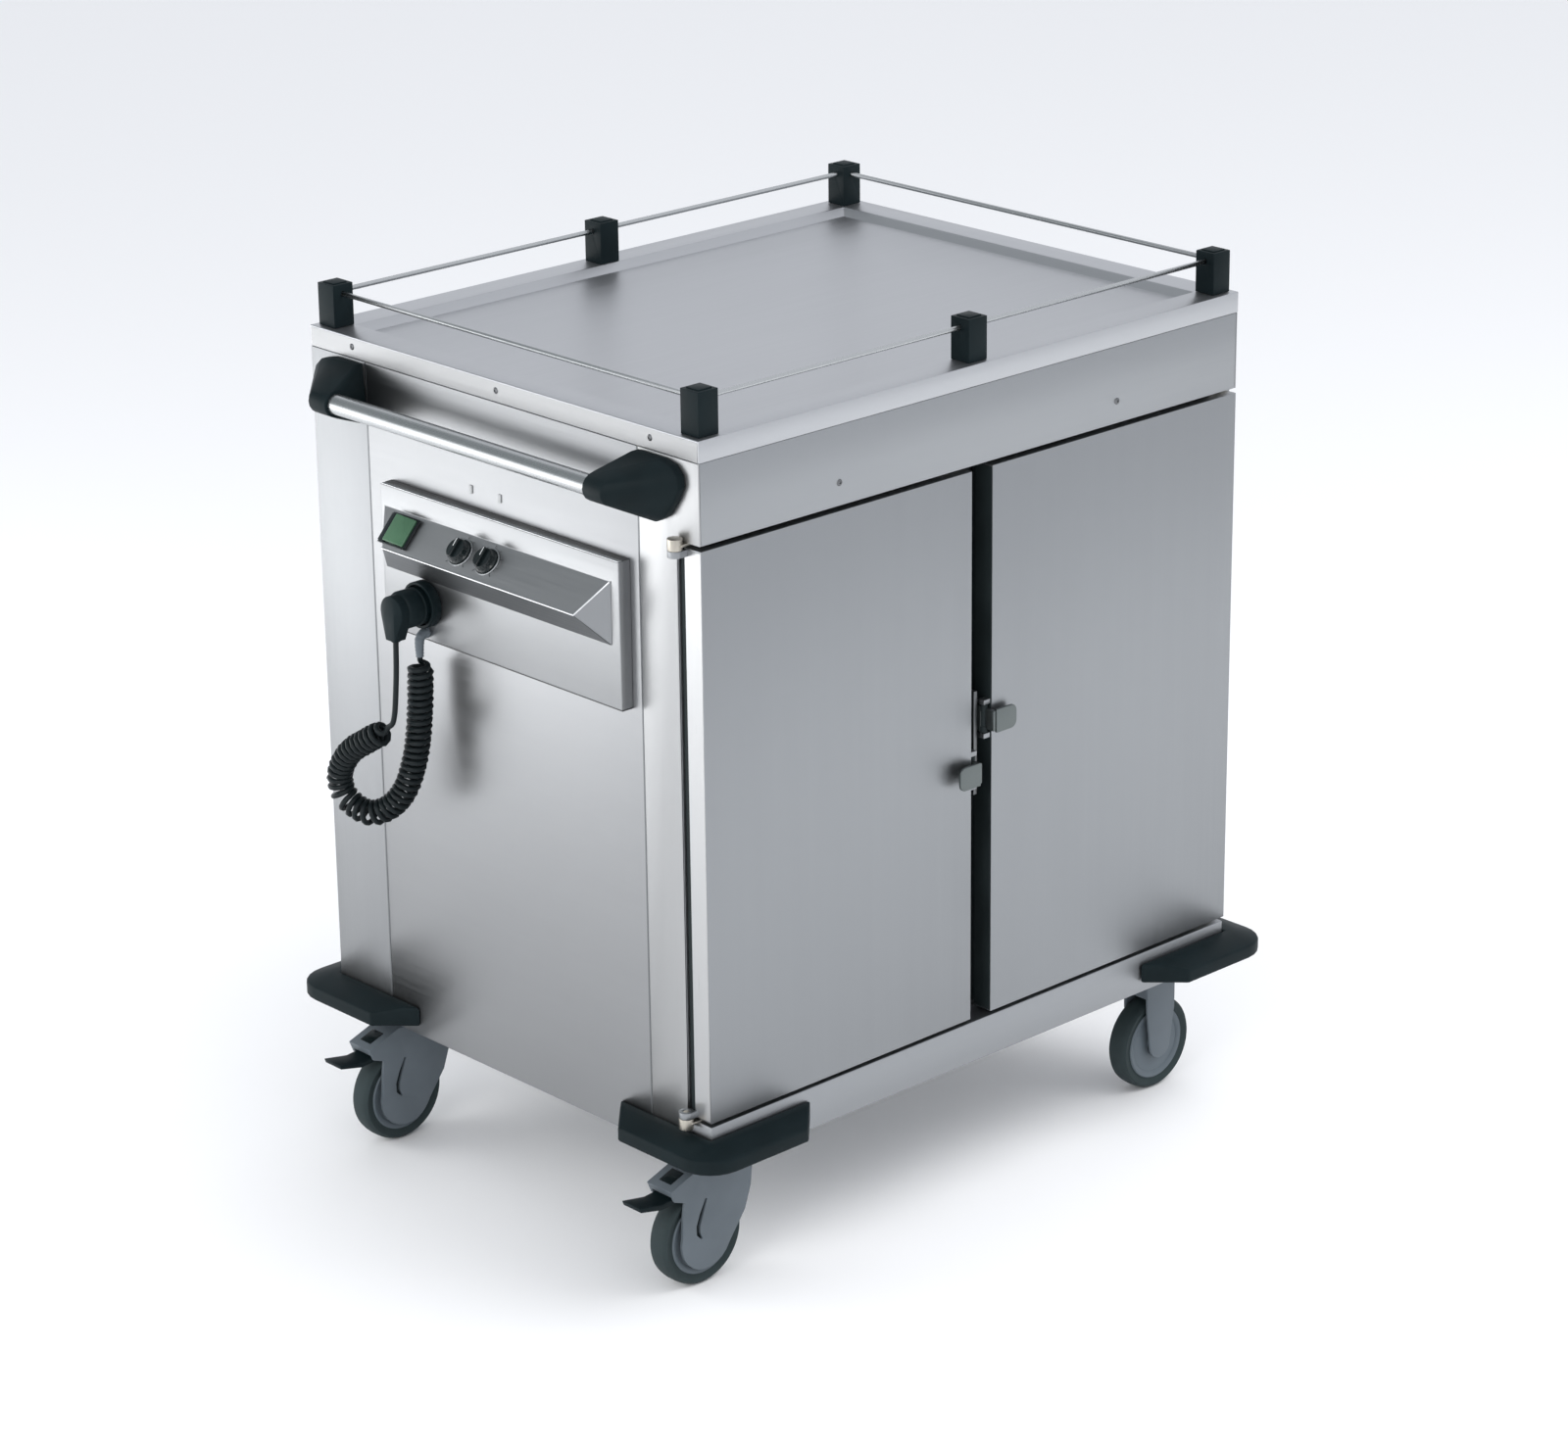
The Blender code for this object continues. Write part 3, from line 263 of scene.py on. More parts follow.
def rounded(bm, width, segments, sharper_than=28):
    """Rounds every edge of a mesh that is sharper than an angle in degrees."""
    bmesh.ops.remove_doubles(bm, verts=bm.verts, dist=WELD_DISTANCE)
    bmesh.ops.dissolve_limit(bm, angle_limit=FLAT_ANGLE, verts=bm.verts, edges=bm.edges)
    limit = math.radians(sharper_than)
    edges = [edge for edge in bm.edges if len(edge.link_faces) == 2 and edge.calc_face_angle(0) > limit]
    rule = {"profile": 0.5, "affect": "EDGES", "clamp_overlap": True}
    bmesh.ops.bevel(bm, geom=edges, offset=width, segments=segments, **rule)


def soften(node, look, width, segments=2, smooth=38, sharper_than=28):
    """A copy of a CAD node with its sharp edges rounded, which stands for the node."""
    bm = bmesh.new()
    bm.from_mesh(frame["nodes"][node].data)
    rounded(bm, width, segments, sharper_than)
    made = piece(f"{node}_shape", mesh_from(bm, node), look, BODIES[node], smooth)
    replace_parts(made, node)


def cube(low, high, width=0.0, segments=2):
    """A box between two corners, its edges rounded."""
    size = [b - a for a, b in zip(low, high)]
    centre = [(a + b) / 2 for a, b in zip(low, high)]
    bm = bmesh.new()
    bmesh.ops.create_cube(bm, size=1, matrix=Matrix.Translation(centre) @ Matrix.Diagonal((*size, 1)))
    if width:
        rounded(bm, width, segments)
    return mesh_from(bm)


def axes(direction, origin):
    """The matrix whose Z runs along a direction."""
    turn = Vector(direction).to_track_quat("Z", "Y").to_matrix().to_4x4()
    return Matrix.Translation(origin) @ turn


def revolved(profile, matrix, steps=48, flutes=None):
    """A surface of revolution. The profile, (radius, height), runs from end to end or is a closed loop."""
    bm = bmesh.new()
    rings = []
    closed = profile[0][0] > 0
    for radius, height in profile:
        ring = []
        for k in range(1 if radius == 0 else steps):
            angle = 2 * math.pi * k / steps
            reach = radius * (flutes(angle, height) if flutes and radius else 1)
            ring.append(bm.verts.new((reach * math.cos(angle), reach * math.sin(angle), height)))
        rings.append(ring)
    following = rings[1:] + (rings[:1] if closed else [])
    for first, second in zip(rings, following):
        for k in range(steps):
            a, b = first[k % len(first)], first[(k + 1) % len(first)]
            c, d = second[(k + 1) % len(second)], second[k % len(second)]
            corners = list(dict.fromkeys((a, b, c, d)))
            if len(corners) > 2:
                bm.faces.new(corners)
    bmesh.ops.transform(bm, matrix=matrix, verts=bm.verts)
    return mesh_from(bm)


def joined(meshes):
    """Several meshes as one, their faces unchanged."""
    bm = bmesh.new()
    for mesh in meshes:
        bm.from_mesh(mesh)
    mesh = bpy.data.meshes.new("joined")
    bm.to_mesh(mesh)
    bm.free()
    return mesh


def hull(points, width, segments):
    """The convex solid round some points, its edges rounded."""
    bm = bmesh.new()
    for point in points:
        bm.verts.new(point)
    found = bmesh.ops.convex_hull(bm, input=bm.verts)
    inside = dict.fromkeys(found["geom_interior"] + found["geom_unused"])
    loose = [item for item in inside if isinstance(item, bmesh.types.BMVert)]
    bmesh.ops.delete(bm, geom=loose, context="VERTS")
    bmesh.ops.dissolve_limit(bm, angle_limit=HULL_FLAT_ANGLE, verts=bm.verts, edges=bm.edges)
    rounded(bm, width, segments)
    return mesh_from(bm)


def tube(points, radius, resolution=3, radii=None):
    """A curve with a round section."""
    curve = bpy.data.curves.new("tube", "CURVE")
    curve.dimensions = "3D"
    curve.bevel_depth = radius
    curve.bevel_resolution = resolution
    curve.use_fill_caps = True
    spline = curve.splines.new("POLY")
    spline.points.add(len(points) - 1)
    for k, (point, place) in enumerate(zip(spline.points, points)):
        point.co = (*place, 1)
        point.radius = radii[k] / radius if radii else 1
    spline.use_smooth = True
    return curve


def smooth_route(points, step):
    """Points about a step apart on a smooth curve through the given points."""
    ends = [Vector(points[0]) * 2 - Vector(points[1]), Vector(points[-1]) * 2 - Vector(points[-2])]
    guide = [ends[0], *map(Vector, points), ends[1]]
    fine = []
    for a, b, c, d in zip(guide, guide[1:], guide[2:], guide[3:]):
        square, cube_term = 2 * a - 5 * b + 4 * c - d, 3 * b - a - 3 * c + d
        for k in range(SPLINE_STEPS):
            t = k / SPLINE_STEPS
            fine.append(0.5 * (2 * b + (c - a) * t + square * t * t + cube_term * t**3))
    fine.append(guide[-2])
    walked = [0.0]
    for a, b in zip(fine, fine[1:]):
        walked.append(walked[-1] + (b - a).length)
    count = max(2, round(walked[-1] / step))
    route, at = [], 0
    for k in range(count + 1):
        target = walked[-1] * k / count
        while at < len(fine) - 2 and walked[at + 1] < target:
            at += 1
        share = (target - walked[at]) / (walked[at + 1] - walked[at])
        route.append(fine[at].lerp(fine[at + 1], min(share, 1.0)))
    return route


# ---------------------------------------------------------------- cord

CORD_DIAMETER = 0.007
COIL_MEAN_RADIUS = 0.013
TURN_POINTS = 16
ROUTE_STEP, LEAD_STEP = 0.0004, 0.004
COIL_START, START_TAPER = 0.003, 0.012
COIL_END, END_TAPER = 0.002, 0.016
OPEN_PITCH, CLOSE_PITCH, STRAIGHT_PITCH = 0.0086, 0.0068, 0.045
BEND_SPAN, SHARPEST_BEND = 25, 45

COIL_ROUTE = [
    (-0.481, 0.123, 0.7070),
    (-0.481, 0.124, 0.672),
    (-0.482, 0.127, 0.629),
    (-0.486, 0.132, 0.581),
    (-0.494, 0.144, 0.536),
    (-0.505, 0.163, 0.509),
    (-0.520, 0.188, 0.499),
    (-0.531, 0.216, 0.515),
    (-0.537, 0.218, 0.546),
    (-0.537, 0.196, 0.580),
    (-0.532, 0.161, 0.605),
    (-0.528, 0.144, 0.616),
    (-0.525, 0.133, 0.626),
]
LEAD_ROUTE = [
    (-0.52484, 0.13242, 0.62653),
    (-0.52342, 0.12720, 0.63128),
    (-0.5230, 0.1230, 0.645),
    (-0.5225, 0.1205, 0.666),
    (-0.5210, 0.1190, 0.700),
    (-0.5205, 0.1180, 0.7367),
]


def eased(share):
    """A share from 0 to 1 with a gentle start and stop."""
    share = min(max(share, 0.0), 1.0)
    return share * share * (3 - 2 * share)


def coiled_line():
    """The cord's centre line: straight out of the gland, wound round its route, straight to the plug."""
    offset = Vector((MIDDLE_X, 0, 0))
    route = smooth_route([Vector(point) + offset for point in COIL_ROUTE], ROUTE_STEP)
    step = (route[1] - route[0]).length
    total = step * (len(route) - 1)
    side = Vector((0, 1, 0))
    line, phase, last_angle = [], 0.0, 0.0
    for k, place in enumerate(route):
        before, after = route[max(k - 1, 0)], route[min(k + 1, len(route) - 1)]
        along = (after - before).normalized()
        side = (side - along * side.dot(along)).normalized()
        other = along.cross(side)
        bend = 0
        if BEND_SPAN <= k < len(route) - BEND_SPAN:
            low, high = route[k - BEND_SPAN], route[k + BEND_SPAN]
            bend = (low + high - 2 * place).length / ((high - low).length / 2) ** 2
        walked = k * step
        into, left = (walked - COIL_START) / START_TAPER, (total - walked - COIL_END) / END_TAPER
        share = min(eased(into), eased(left))
        reach = COIL_MEAN_RADIUS * share
        wound_pitch = max(OPEN_PITCH, CLOSE_PITCH / (1 - COIL_MEAN_RADIUS * min(bend, SHARPEST_BEND)))
        phase += 2 * math.pi * step / (wound_pitch + STRAIGHT_PITCH * (1 - share) ** 2)
        if phase - last_angle >= 2 * math.pi / TURN_POINTS or k in (0, len(route) - 1):
            last_angle = phase
            line.append(place + (side * math.cos(phase) + other * math.sin(phase)) * reach)
    lead = smooth_route([Vector(point) + offset for point in LEAD_ROUTE], LEAD_STEP)
    return line[:-1] + lead


def make_cord():
    line = coiled_line()
    cord = piece("mains_cord", tube(line, CORD_DIAMETER / 2, 3), CORD_BLACK, "cabinet")
    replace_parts(cord, "cord_coil", "cord_lead")
    plug = make_plug(line[-1])
    gland = make_gland(line[0])


PLUG_RADIUS = 0.0234
SHOULDER_RADIUS, SHOULDER_NEAR, SHOULDER_FAR, SHOULDER_POINTS = 0.0207, 0.034, 0.0478, 24
TAIL_HALF, TAIL_CLEARANCE = 0.0084, 0.0030


def make_plug(tail):
    """An angled plug: a ribbed round body, a thick rounded tail block and a ribbed collar on the cord."""
    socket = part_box("parking_socket")
    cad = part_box("mains_plug")
    centre_y, centre_z = (socket[0].y + socket[1].y) / 2, (socket[0].z + socket[1].z) / 2
    front = cad[1].x
    r = PLUG_RADIUS
    profile = [
        (0.0, 0.0),
        (r - 0.0012, 0.0),
        (r - 0.0004, 0.0006),
        (r - 0.0004, 0.0100),
        (r, 0.0108),
        (r, 0.0125),
        (r - 0.0014, 0.0135),
        (r - 0.0014, 0.0165),
        (r, 0.0175),
        (r, 0.0330),
        (r - 0.0012, 0.0352),
        (r - 0.0040, 0.0375),
        (0.0, 0.0385),
    ]
    out = axes((-1, 0, 0), (front, centre_y, centre_z))
    body = piece("plug_body", revolved(profile, out), BLACK, "cabinet", 35)
    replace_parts(body, "mains_plug")
    shoulder = []
    for k in range(SHOULDER_POINTS):
        angle = 2 * math.pi * k / SHOULDER_POINTS
        y, z = centre_y + SHOULDER_RADIUS * math.cos(angle), centre_z + SHOULDER_RADIUS * math.sin(angle)
        shoulder += [(front - SHOULDER_NEAR, y, z), (front - SHOULDER_FAR, y, z)]
    for x in (tail.x - TAIL_HALF, tail.x + TAIL_HALF):
        for y in (tail.y - TAIL_HALF, tail.y + TAIL_HALF):
            shoulder += [(x, y, tail.z + TAIL_CLEARANCE), (x, y, centre_z)]
    block = piece("plug_block", hull(shoulder, 0.0024, 3), BLACK, "cabinet", 40)
    rings = [(0.0044, 0.0004), (0.0054, 0.0008), (0.0054, 0.0018), (0.0047, 0.0022), (0.0058, 0.0026)]
    rings += [(0.0058, 0.0050), (0.0046, 0.0054)]
    sleeve = revolved(rings, axes((0, 0, 1), tail), 28)
    collar = piece("plug_collar", sleeve, BLACK, "cabinet", 35)
    return [body, block, collar]


BOOT_RADIUS, BOOT_END_RADIUS, BOOT_RIB = 0.0064, 0.0045, 0.0006


def make_gland(start):
    """A hexagonal gland nut on the housing and a tapered boot that turns down to the cord."""
    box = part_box("cord_gland")
    face, top = box[1].x, box[1].z - 0.0072
    middle = (box[0].y + box[1].y) / 2
    route = [
        (face - 0.003, middle, top),
        (face - 0.0068, middle, top - 0.0008),
        (face - 0.0108, middle, top - 0.0045),
        (start[0], middle, top - 0.0110),
        (start[0], middle, start[2] + 0.0005),
    ]
    line = smooth_route(route, 0.0014)
    radii = []
    for k in range(len(line)):
        share = k / (len(line) - 1)
        rib = BOOT_RIB if k % 3 == 0 and k > 3 else 0.0
        radii.append(BOOT_RADIUS * (1 - share) + BOOT_END_RADIUS * share + rib)
    boot = piece("gland_boot", tube(line, 0.007, 5, radii), FORK_GREY, "cabinet")
    profile = [(0.0, 0.0), (0.0072, 0.0), (0.0072, 0.0030), (0.0064, 0.0038), (0.0, 0.0038)]
    nut = revolved(profile, axes((-1, 0, 0), (face, middle, top)), 6)
    collar = piece("gland_nut", nut, FORK_GREY, "cabinet", 20)
    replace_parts(collar, "cord_gland")
    return [boot, collar]


make_cord()

# ---------------------------------------------------------------- cabinet


def make_cabinet():
    """The sheet metal, and the looks of the parts shut inside it."""
    soften("base_frame", SHEET_STEEL, 0.0012)
    soften("outer_casing", CASING_STEEL, 0.0008)
    # the front pillar in steel painted lighter, painted light
    soften("front_pillar", LIT_PILLAR_STEEL, 0.0008)
    soften("service_panel", PANEL_STEEL, 0.0009)
    soften("fascia", SHEET_STEEL, 0.0008)
    soften("front_frame", SHEET_STEEL, 0.0006)
    # the top cover in steel painted lighter, painted light
    soften("top_cover", LIT_DECK_STEEL, 0.0018, 3)
    for side in ("left", "right"):
        soften(f"{side}_liner", INNER_STEEL, 0.0008)
    shut_in = {"insulation_core": FOAM, "left_heater": PLATED_STEEL, "right_heater": PLATED_STEEL}
    for node, look in shut_in.items():
        frame["nodes"][node].data.materials.clear()
        frame["nodes"][node].data.materials.append(look)


SCREW_RADIUS, SCREW_HEIGHT = 0.0042, 0.0016
SCREW_INSET = 0.028
LOW_SCREWS = 0.235


def screw(place, out):
    """A pan head with a socket recess."""
    shares = [(0.0, 0.40), (0.34, 0.40), (0.38, 1.0), (0.62, 0.92), (0.92, 0.45), (1.0, 0.0), (0.0, 0.0)]
    dome = [(SCREW_RADIUS * across, SCREW_HEIGHT * up) for across, up in shares]
    return revolved(dome, axes(out, place), 24)


def make_screws():
    """Heads along the skirt, the fascia, the rear and the right end."""
    cover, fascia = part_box("top_cover"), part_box("fascia")
    skirt_z = (cover[0].z + cover[1].z) / 2 + 0.001
    under_cover = cover[0].z - SCREW_INSET
    fascia_z = fascia[0].z + SCREW_INSET
    heads = [screw((cover[0].x, y, skirt_z), (-1, 0, 0)) for y in (-0.269, 0.0, 0.269)]
    heads += [screw((MIDDLE_X + x, fascia[0].y, fascia_z), (0, -1, 0)) for x in (-0.233, 0.233)]
    for x in (-0.40, -0.133, 0.133, 0.40):
        heads += [screw((MIDDLE_X + x, REAR_FACE, z), (0, 1, 0)) for z in (LOW_SCREWS, under_cover)]
    heads += [screw((RIGHT_FACE, y, under_cover), (1, 0, 0)) for y in (-0.28, 0.0, 0.28)]
    piece("panel_screws", joined(heads), SCREW_STEEL, "cabinet", 40)


SEAM_HALF_WIDTH = 0.0011


def make_end_trims():
    """The skirt's end face, and the dark seams either side of the service panel."""
    low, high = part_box("top_cover")
    skin_low = (low.x - 0.0004, low.y + 0.002, low.z + 0.001)
    skin_high = (low.x + 0.0002, high.y - 0.002, high.z - 0.0022)
    # the cover's end face keeps the other sheets' darker tone, not the deck's painted light
    piece("cover_end_skin", cube(skin_low, skin_high), END_STEEL, "cabinet", 0)
    low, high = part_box("service_panel")
    strips = []
    for y in (low.y - 0.0005, high.y + 0.0005):
        strip_low = (low.x - 0.0002, y - SEAM_HALF_WIDTH, low.z + 0.001)
        strip_high = (low.x + 0.0010, y + SEAM_HALF_WIDTH, high.z - 0.001)
        strips.append(cube(strip_low, strip_high))
    piece("panel_seams", joined(strips), SHADE_STEEL, "cabinet", 0)


def make_indicators():
    """Two small lenses in the panel above the control housing."""
    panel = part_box("service_panel")[0].x
    for name, y in (("upper_lens", 0.052), ("lower_lens", -0.001)):
        low, high = (panel - 0.0016, y - 0.0026, 0.9215), (panel + 0.0005, y + 0.0026, 0.9320)
        piece(name, cube(low, high, 0.0012, 3), LENS_GREY, "cabinet", 50)


DOOR_EDGE = 0.449
TAB_CORNER, TAB_ARC, TAB_THICKNESS, TAB_INSET = 0.009, 6, 0.004, 0.003


def make_latch(side, sign):
    """A latch: a rounded thumb tab on a cranked neck, and the hub that it turns with in the gap."""
    joint = JOINTS[f"{side}_latch_pivot"]["pos_m"]
    latch = f"{side}_latch"
    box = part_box(latch)
    front, low, high = box[0].y, box[0].z, box[1].z
    inner, outer = joint[0] + sign * 0.0030, (box[1].x if sign > 0 else box[0].x)
    bottom, top = low + TAB_INSET, high - TAB_INSET
    outline = [(inner, bottom), (inner, top)]
    for centre_z, first in ((top - TAB_CORNER, 90), (bottom + TAB_CORNER, 0)):
        for k in range(TAB_ARC + 1):
            angle = math.radians(first - 90 * k / TAB_ARC)
            x = outer - sign * (TAB_CORNER - TAB_CORNER * math.cos(angle))
            outline.append((x, centre_z + TAB_CORNER * math.sin(angle)))
    bm = bmesh.new()
    front_rim = [bm.verts.new((x, front, z)) for x, z in outline]
    back_rim = [bm.verts.new((x, front + TAB_THICKNESS, z)) for x, z in outline]
    bm.faces.new(front_rim)
    bm.faces.new(back_rim[::-1])
    for k, corner in enumerate(front_rim):
        bm.faces.new((front_rim[k - 1], back_rim[k - 1], back_rim[k], corner))
    rounded(bm, 0.0011, 3, 60)
    tab = mesh_from(bm)
    ends = sorted((joint[0] - sign * 0.001, joint[0] + sign * 0.005))
    neck = cube((ends[0], front + 0.002, low + 0.005), (ends[1], joint[1], high - 0.005), 0.0010)
    ends = sorted((joint[0] - sign * 0.005, joint[0] - sign * 0.002))
    tongue = cube((ends[0], joint[1], low + 0.002), (ends[1], box[1].y, high - 0.002), 0.0006)
    lever = joined([tab, neck, tongue])
    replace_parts(piece(f"{latch}_tab", lever, LATCH_GREY, latch, 40), latch)
    hub = [(0.0, 0.0), (0.0040, 0.0), (0.0050, 0.0008), (0.0050, 0.0080), (0.0042, 0.0088), (0.0042, 0.0272)]
    hub += [(0.0050, 0.0280), (0.0050, 0.0352), (0.0040, 0.0360), (0.0, 0.0360)]
    barrel = revolved(hub, axes((0, 0, 1), (joint[0], joint[1], low)), 24)
    piece(f"{latch}_hub", barrel, GASKET, latch, 40)


PANEL_SIDE_INSET, PANEL_END_INSET = 0.045, 0.055


def make_doors():
    """The two doors with their hinges, latches, dark strips along their inner edges, outer flanks painted
    light as a painted highlight, and pressed inner panels.
    """
    for side, sign in (("left", -1), ("right", 1)):
        door = f"{side}_door"
        soften(f"{door}_skin", DOOR_STEEL, 0.0011)
        soften(f"{door}_core", INNER_STEEL, 0.0008)
        soften(f"{door}_gasket", GASKET, 0.003, 3)
        soften(f"{side}_top_hinge", HINGE_METAL, 0.0010, 3)
        soften(f"{side}_bottom_hinge", HINGE_METAL, 0.0010, 3)
        make_latch(side, sign)
        low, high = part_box(f"{side}_door_core")
        # a dark strip along the door's inner edge, which darkens the gap between the doors
        edge = (low.x if sign > 0 else high.x) - sign * 0.0018
        ends = sorted((edge - sign * 0.0009, edge - sign * 0.0001))
        strip = cube((ends[0], DOOR_FACE + 0.0008, low.z), (ends[1], high.y + 0.0002, high.z), 0.0003, 1)
        piece(f"{side}_inner_edge_strip", strip, GASKET, door, 40)
        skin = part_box(f"{side}_door_skin")
        outer = MIDDLE_X + sign * DOOR_EDGE
        # a skin on the door's outer side face, painted lighter as a painted highlight
        flank_low = (outer - 0.0004, skin[0].y + 0.0010, skin[0].z + 0.002)
        flank_high = (outer + 0.0004, high.y - 0.0008, skin[1].z - 0.002)
        flank = cube(flank_low, flank_high, 0.0002, 1)
        piece(f"{side}_door_flank", flank, LIT_FLANK_STEEL, door, 40)
        panel_low = (low.x + PANEL_SIDE_INSET, high.y - 0.001, low.z + PANEL_END_INSET)
        panel_high = (high.x - PANEL_SIDE_INSET, high.y + 0.0055, high.z - PANEL_END_INSET)
        panel = cube(panel_low, panel_high, 0.0050, 4)
        piece(f"{side}_inner_panel", panel, INNER_STEEL, door, 40)
    soften("latch_keeper", SCREW_STEEL, 0.0005)


make_cabinet()
make_screws()
make_end_trims()
make_indicators()
make_doors()

# ---------------------------------------------------------------- controls


def local(origin, normal, down):
    """The matrix whose X runs down the console's slope, Y across it and Z out of it."""
    turn = Matrix((Vector(down), Vector(normal).cross(Vector(down)), Vector(normal))).transposed().to_4x4()
    return Matrix.Translation(origin) @ turn


def placed(mesh, matrix):
    """A mesh moved into place."""
    mesh.transform(matrix)
    return mesh


FLUTES, FLUTE_DEPTH, FLUTE_LOW, FLUTE_HIGH = 18, 0.022, 0.004, 0.011
TICKS, FIRST_TICK, TICK_STEP = 9, 45, 33.75
TICK_START, SHORT_TICK, LONG_TICK = 0.0190, 0.0213, 0.0225


def make_dial(side, down):
    """A fluted knob whose grip bar has a white line, in a bright ring with ticks round it."""
    joint = JOINTS[f"{side}_dial_turn"]
    place = local(joint["pos_m"], joint["axis"], down)
    knob = [
        (0.0, 0.0),
        (0.0154, 0.0),
        (0.0158, 0.0006),
        (0.0156, 0.0030),
        (0.0146, 0.0038),
        (0.0138, 0.0046),
        (0.0133, 0.0105),
        (0.0124, 0.0115),
        (0.0, 0.0118),
    ]

    def flutes(angle, height):
        return 1 + (FLUTE_DEPTH * math.cos(FLUTES * angle) if FLUTE_LOW < height < FLUTE_HIGH else 0.0)

    body = revolved(knob, place, 90, flutes)
    grip = placed(cube((-0.0125, -0.0030, 0.0100), (0.0125, 0.0030, 0.0158), 0.0014, 3), place)
    dial = f"{side}_dial"
    made = piece(f"{dial}_knob", joined([body, grip]), BLACK_GLOSS, dial, 35)
    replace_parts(made, dial)
    line = placed(cube((-0.0118, -0.0005, 0.0156), (-0.0010, 0.0005, 0.0161), 0.0002, 1), place)
    piece(f"{dial}_line", line, WHITE_INK, dial, 0)
    ring = [(0.0162, -0.0004), (0.0162, 0.0008), (0.0166, 0.0013)]
    ring += [(0.0174, 0.0013), (0.0179, 0.0006), (0.0179, -0.0004)]
    piece(f"{dial}_ring", revolved(ring, place, 64), BAR_STEEL, "cabinet", 35)
    ticks = []
    for k in range(TICKS):
        turn = Matrix.Rotation(math.radians(FIRST_TICK + TICK_STEP * k), 4, "Z")
        reach = SHORT_TICK if k % 2 else LONG_TICK
        tick = cube((TICK_START, -0.0003, -0.0006), (reach, 0.0003, -0.0002), 0.0001, 1)
        ticks.append(placed(tick, place @ turn))
    piece(f"{dial}_ticks", joined(ticks), PALE_INK, "cabinet", 0)


def make_rocker_bezel(down):
    """The switch's frame, with a plain black block beside the green key."""
    out = JOINTS["left_dial_turn"]["axis"]
    place = local(JOINTS["power_rocker_tip"]["pos_m"], out, down)
    inner, outer, near, far = 0.0187, 0.0206, 0.0182, 0.0198
    block = 0.0285
    low, high = -0.0008, 0.0030
    bars = [
        ((-outer, -block, low), (-inner, far, high)),
        ((inner, -block, low), (outer, far, high)),
        ((-inner, near, low), (inner, far, high)),
        ((-inner, -block, low), (inner, -near, high + 0.0012)),
    ]
    frame_bars = [placed(cube(a, b, 0.0006, 2), place) for a, b in bars]
    piece("rocker_bezel", joined(frame_bars), BLACK_GLOSS, "cabinet", 35)


CONSOLE_REACH = 0.035
CONSOLE_TOP, CONSOLE_LIP, CONSOLE_BOTTOM = 0.880, 0.841, 0.802
CONSOLE_NEAR, CONSOLE_FAR = -0.216, 0.197
LIP_NEAR, LIP_FAR = -0.190, 0.160


def make_console_faces():
    """Thin skins of darker steel as painted shade on the console's underside and hip, and a pale tube as a
    painted highlight along its lip.
    """
    lip_x = HOUSING_FACE - CONSOLE_REACH
    near, far = Vector((lip_x, LIP_NEAR, CONSOLE_LIP)), Vector((lip_x, LIP_FAR, CONSOLE_LIP))
    near_foot = Vector((HOUSING_FACE, CONSOLE_NEAR, CONSOLE_BOTTOM))
    near_head = Vector((HOUSING_FACE, CONSOLE_NEAR, CONSOLE_TOP))
    under = [near, far, Vector((HOUSING_FACE, CONSOLE_FAR, CONSOLE_BOTTOM)), near_foot]
    hip = [near, near_foot, near_head]
    # skins laid over the underside and hip faces as painted shade
    for name, face, look in (("console_underside", under, SHADE_STEEL), ("console_hip", hip, HIP_SHADE_STEEL)):
        middle = sum(face, Vector()) / len(face)
        normal = (face[1] - face[0]).cross(face[2] - face[1]).normalized()
        if normal.dot(middle - Vector((HOUSING_FACE + 0.05, 0, CONSOLE_LIP))) < 0:
            normal = -normal
        inner = [middle + (point - middle) * 0.992 for point in face]
        points = [point + normal * lift for point in inner for lift in (-0.0002, 0.0004)]
        piece(name, hull(points, 0.0001, 1), look, "cabinet", 0)
    # a pale tube along the lip, a painted highlight
    line = [near_head.lerp(near, 0.04), near, near.lerp(far, 0.01), far]
    piece("console_lip_highlight", tube(line, 0.0011, 3), PAINTED_HIGHLIGHT_STEEL, "cabinet")


def make_housing():
    """The pressed housing, dark strips of painted shade along its top and bottom, a pale strip as a painted
    highlight along its top edge, and the socket.
    """
    soften("control_housing", HOUSING_STEEL, 0.0010)
    make_console_faces()
    low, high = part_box("control_housing")
    near, far, top, bottom = low.y + 0.001, high.y - 0.001, high.z, low.z

    def strip(front, back, under, over, width=0.0):
        return cube((front, near, under), (back, far, over), width)

    back = END_FACE - 0.0004
    # dark strips as painted shade: the rear of the top face, where it meets the panel, and the underside
    upper = strip(END_FACE - 0.0110, back, top - 0.0004, top + 0.0010, 0.0004)
    lower = strip(HOUSING_FACE + 0.0020, back, bottom - 0.0024, bottom, 0.0004)
    piece("housing_gap_shades", joined([upper, lower]), GAP_SHADE_GREY, "cabinet", 40)
    # a pale strip along the front of the housing's top face, a painted highlight
    edge = strip(HOUSING_FACE + 0.0008, END_FACE - 0.0114, top - 0.0002, top + 0.0004)
    piece("housing_top_highlight", edge, PAINTED_HIGHLIGHT_STEEL, "cabinet", 0)
    soften("parking_socket", BLACK, 0.0016, 3)


def make_controls():
    """The control housing with its rocker switch and two dials."""
    make_housing()
    soften("power_rocker", ROCKER_GREEN, 0.0009, 3)
    down = Vector(JOINTS["power_rocker_tip"]["axis"])
    make_rocker_bezel(down)
    for side in ("left", "right"):
        make_dial(side, down)


make_controls()

# ---------------------------------------------------------------- handle, gallery and bumpers


CAP_INSET, CAP_HEIGHT = 0.0045, 0.0016


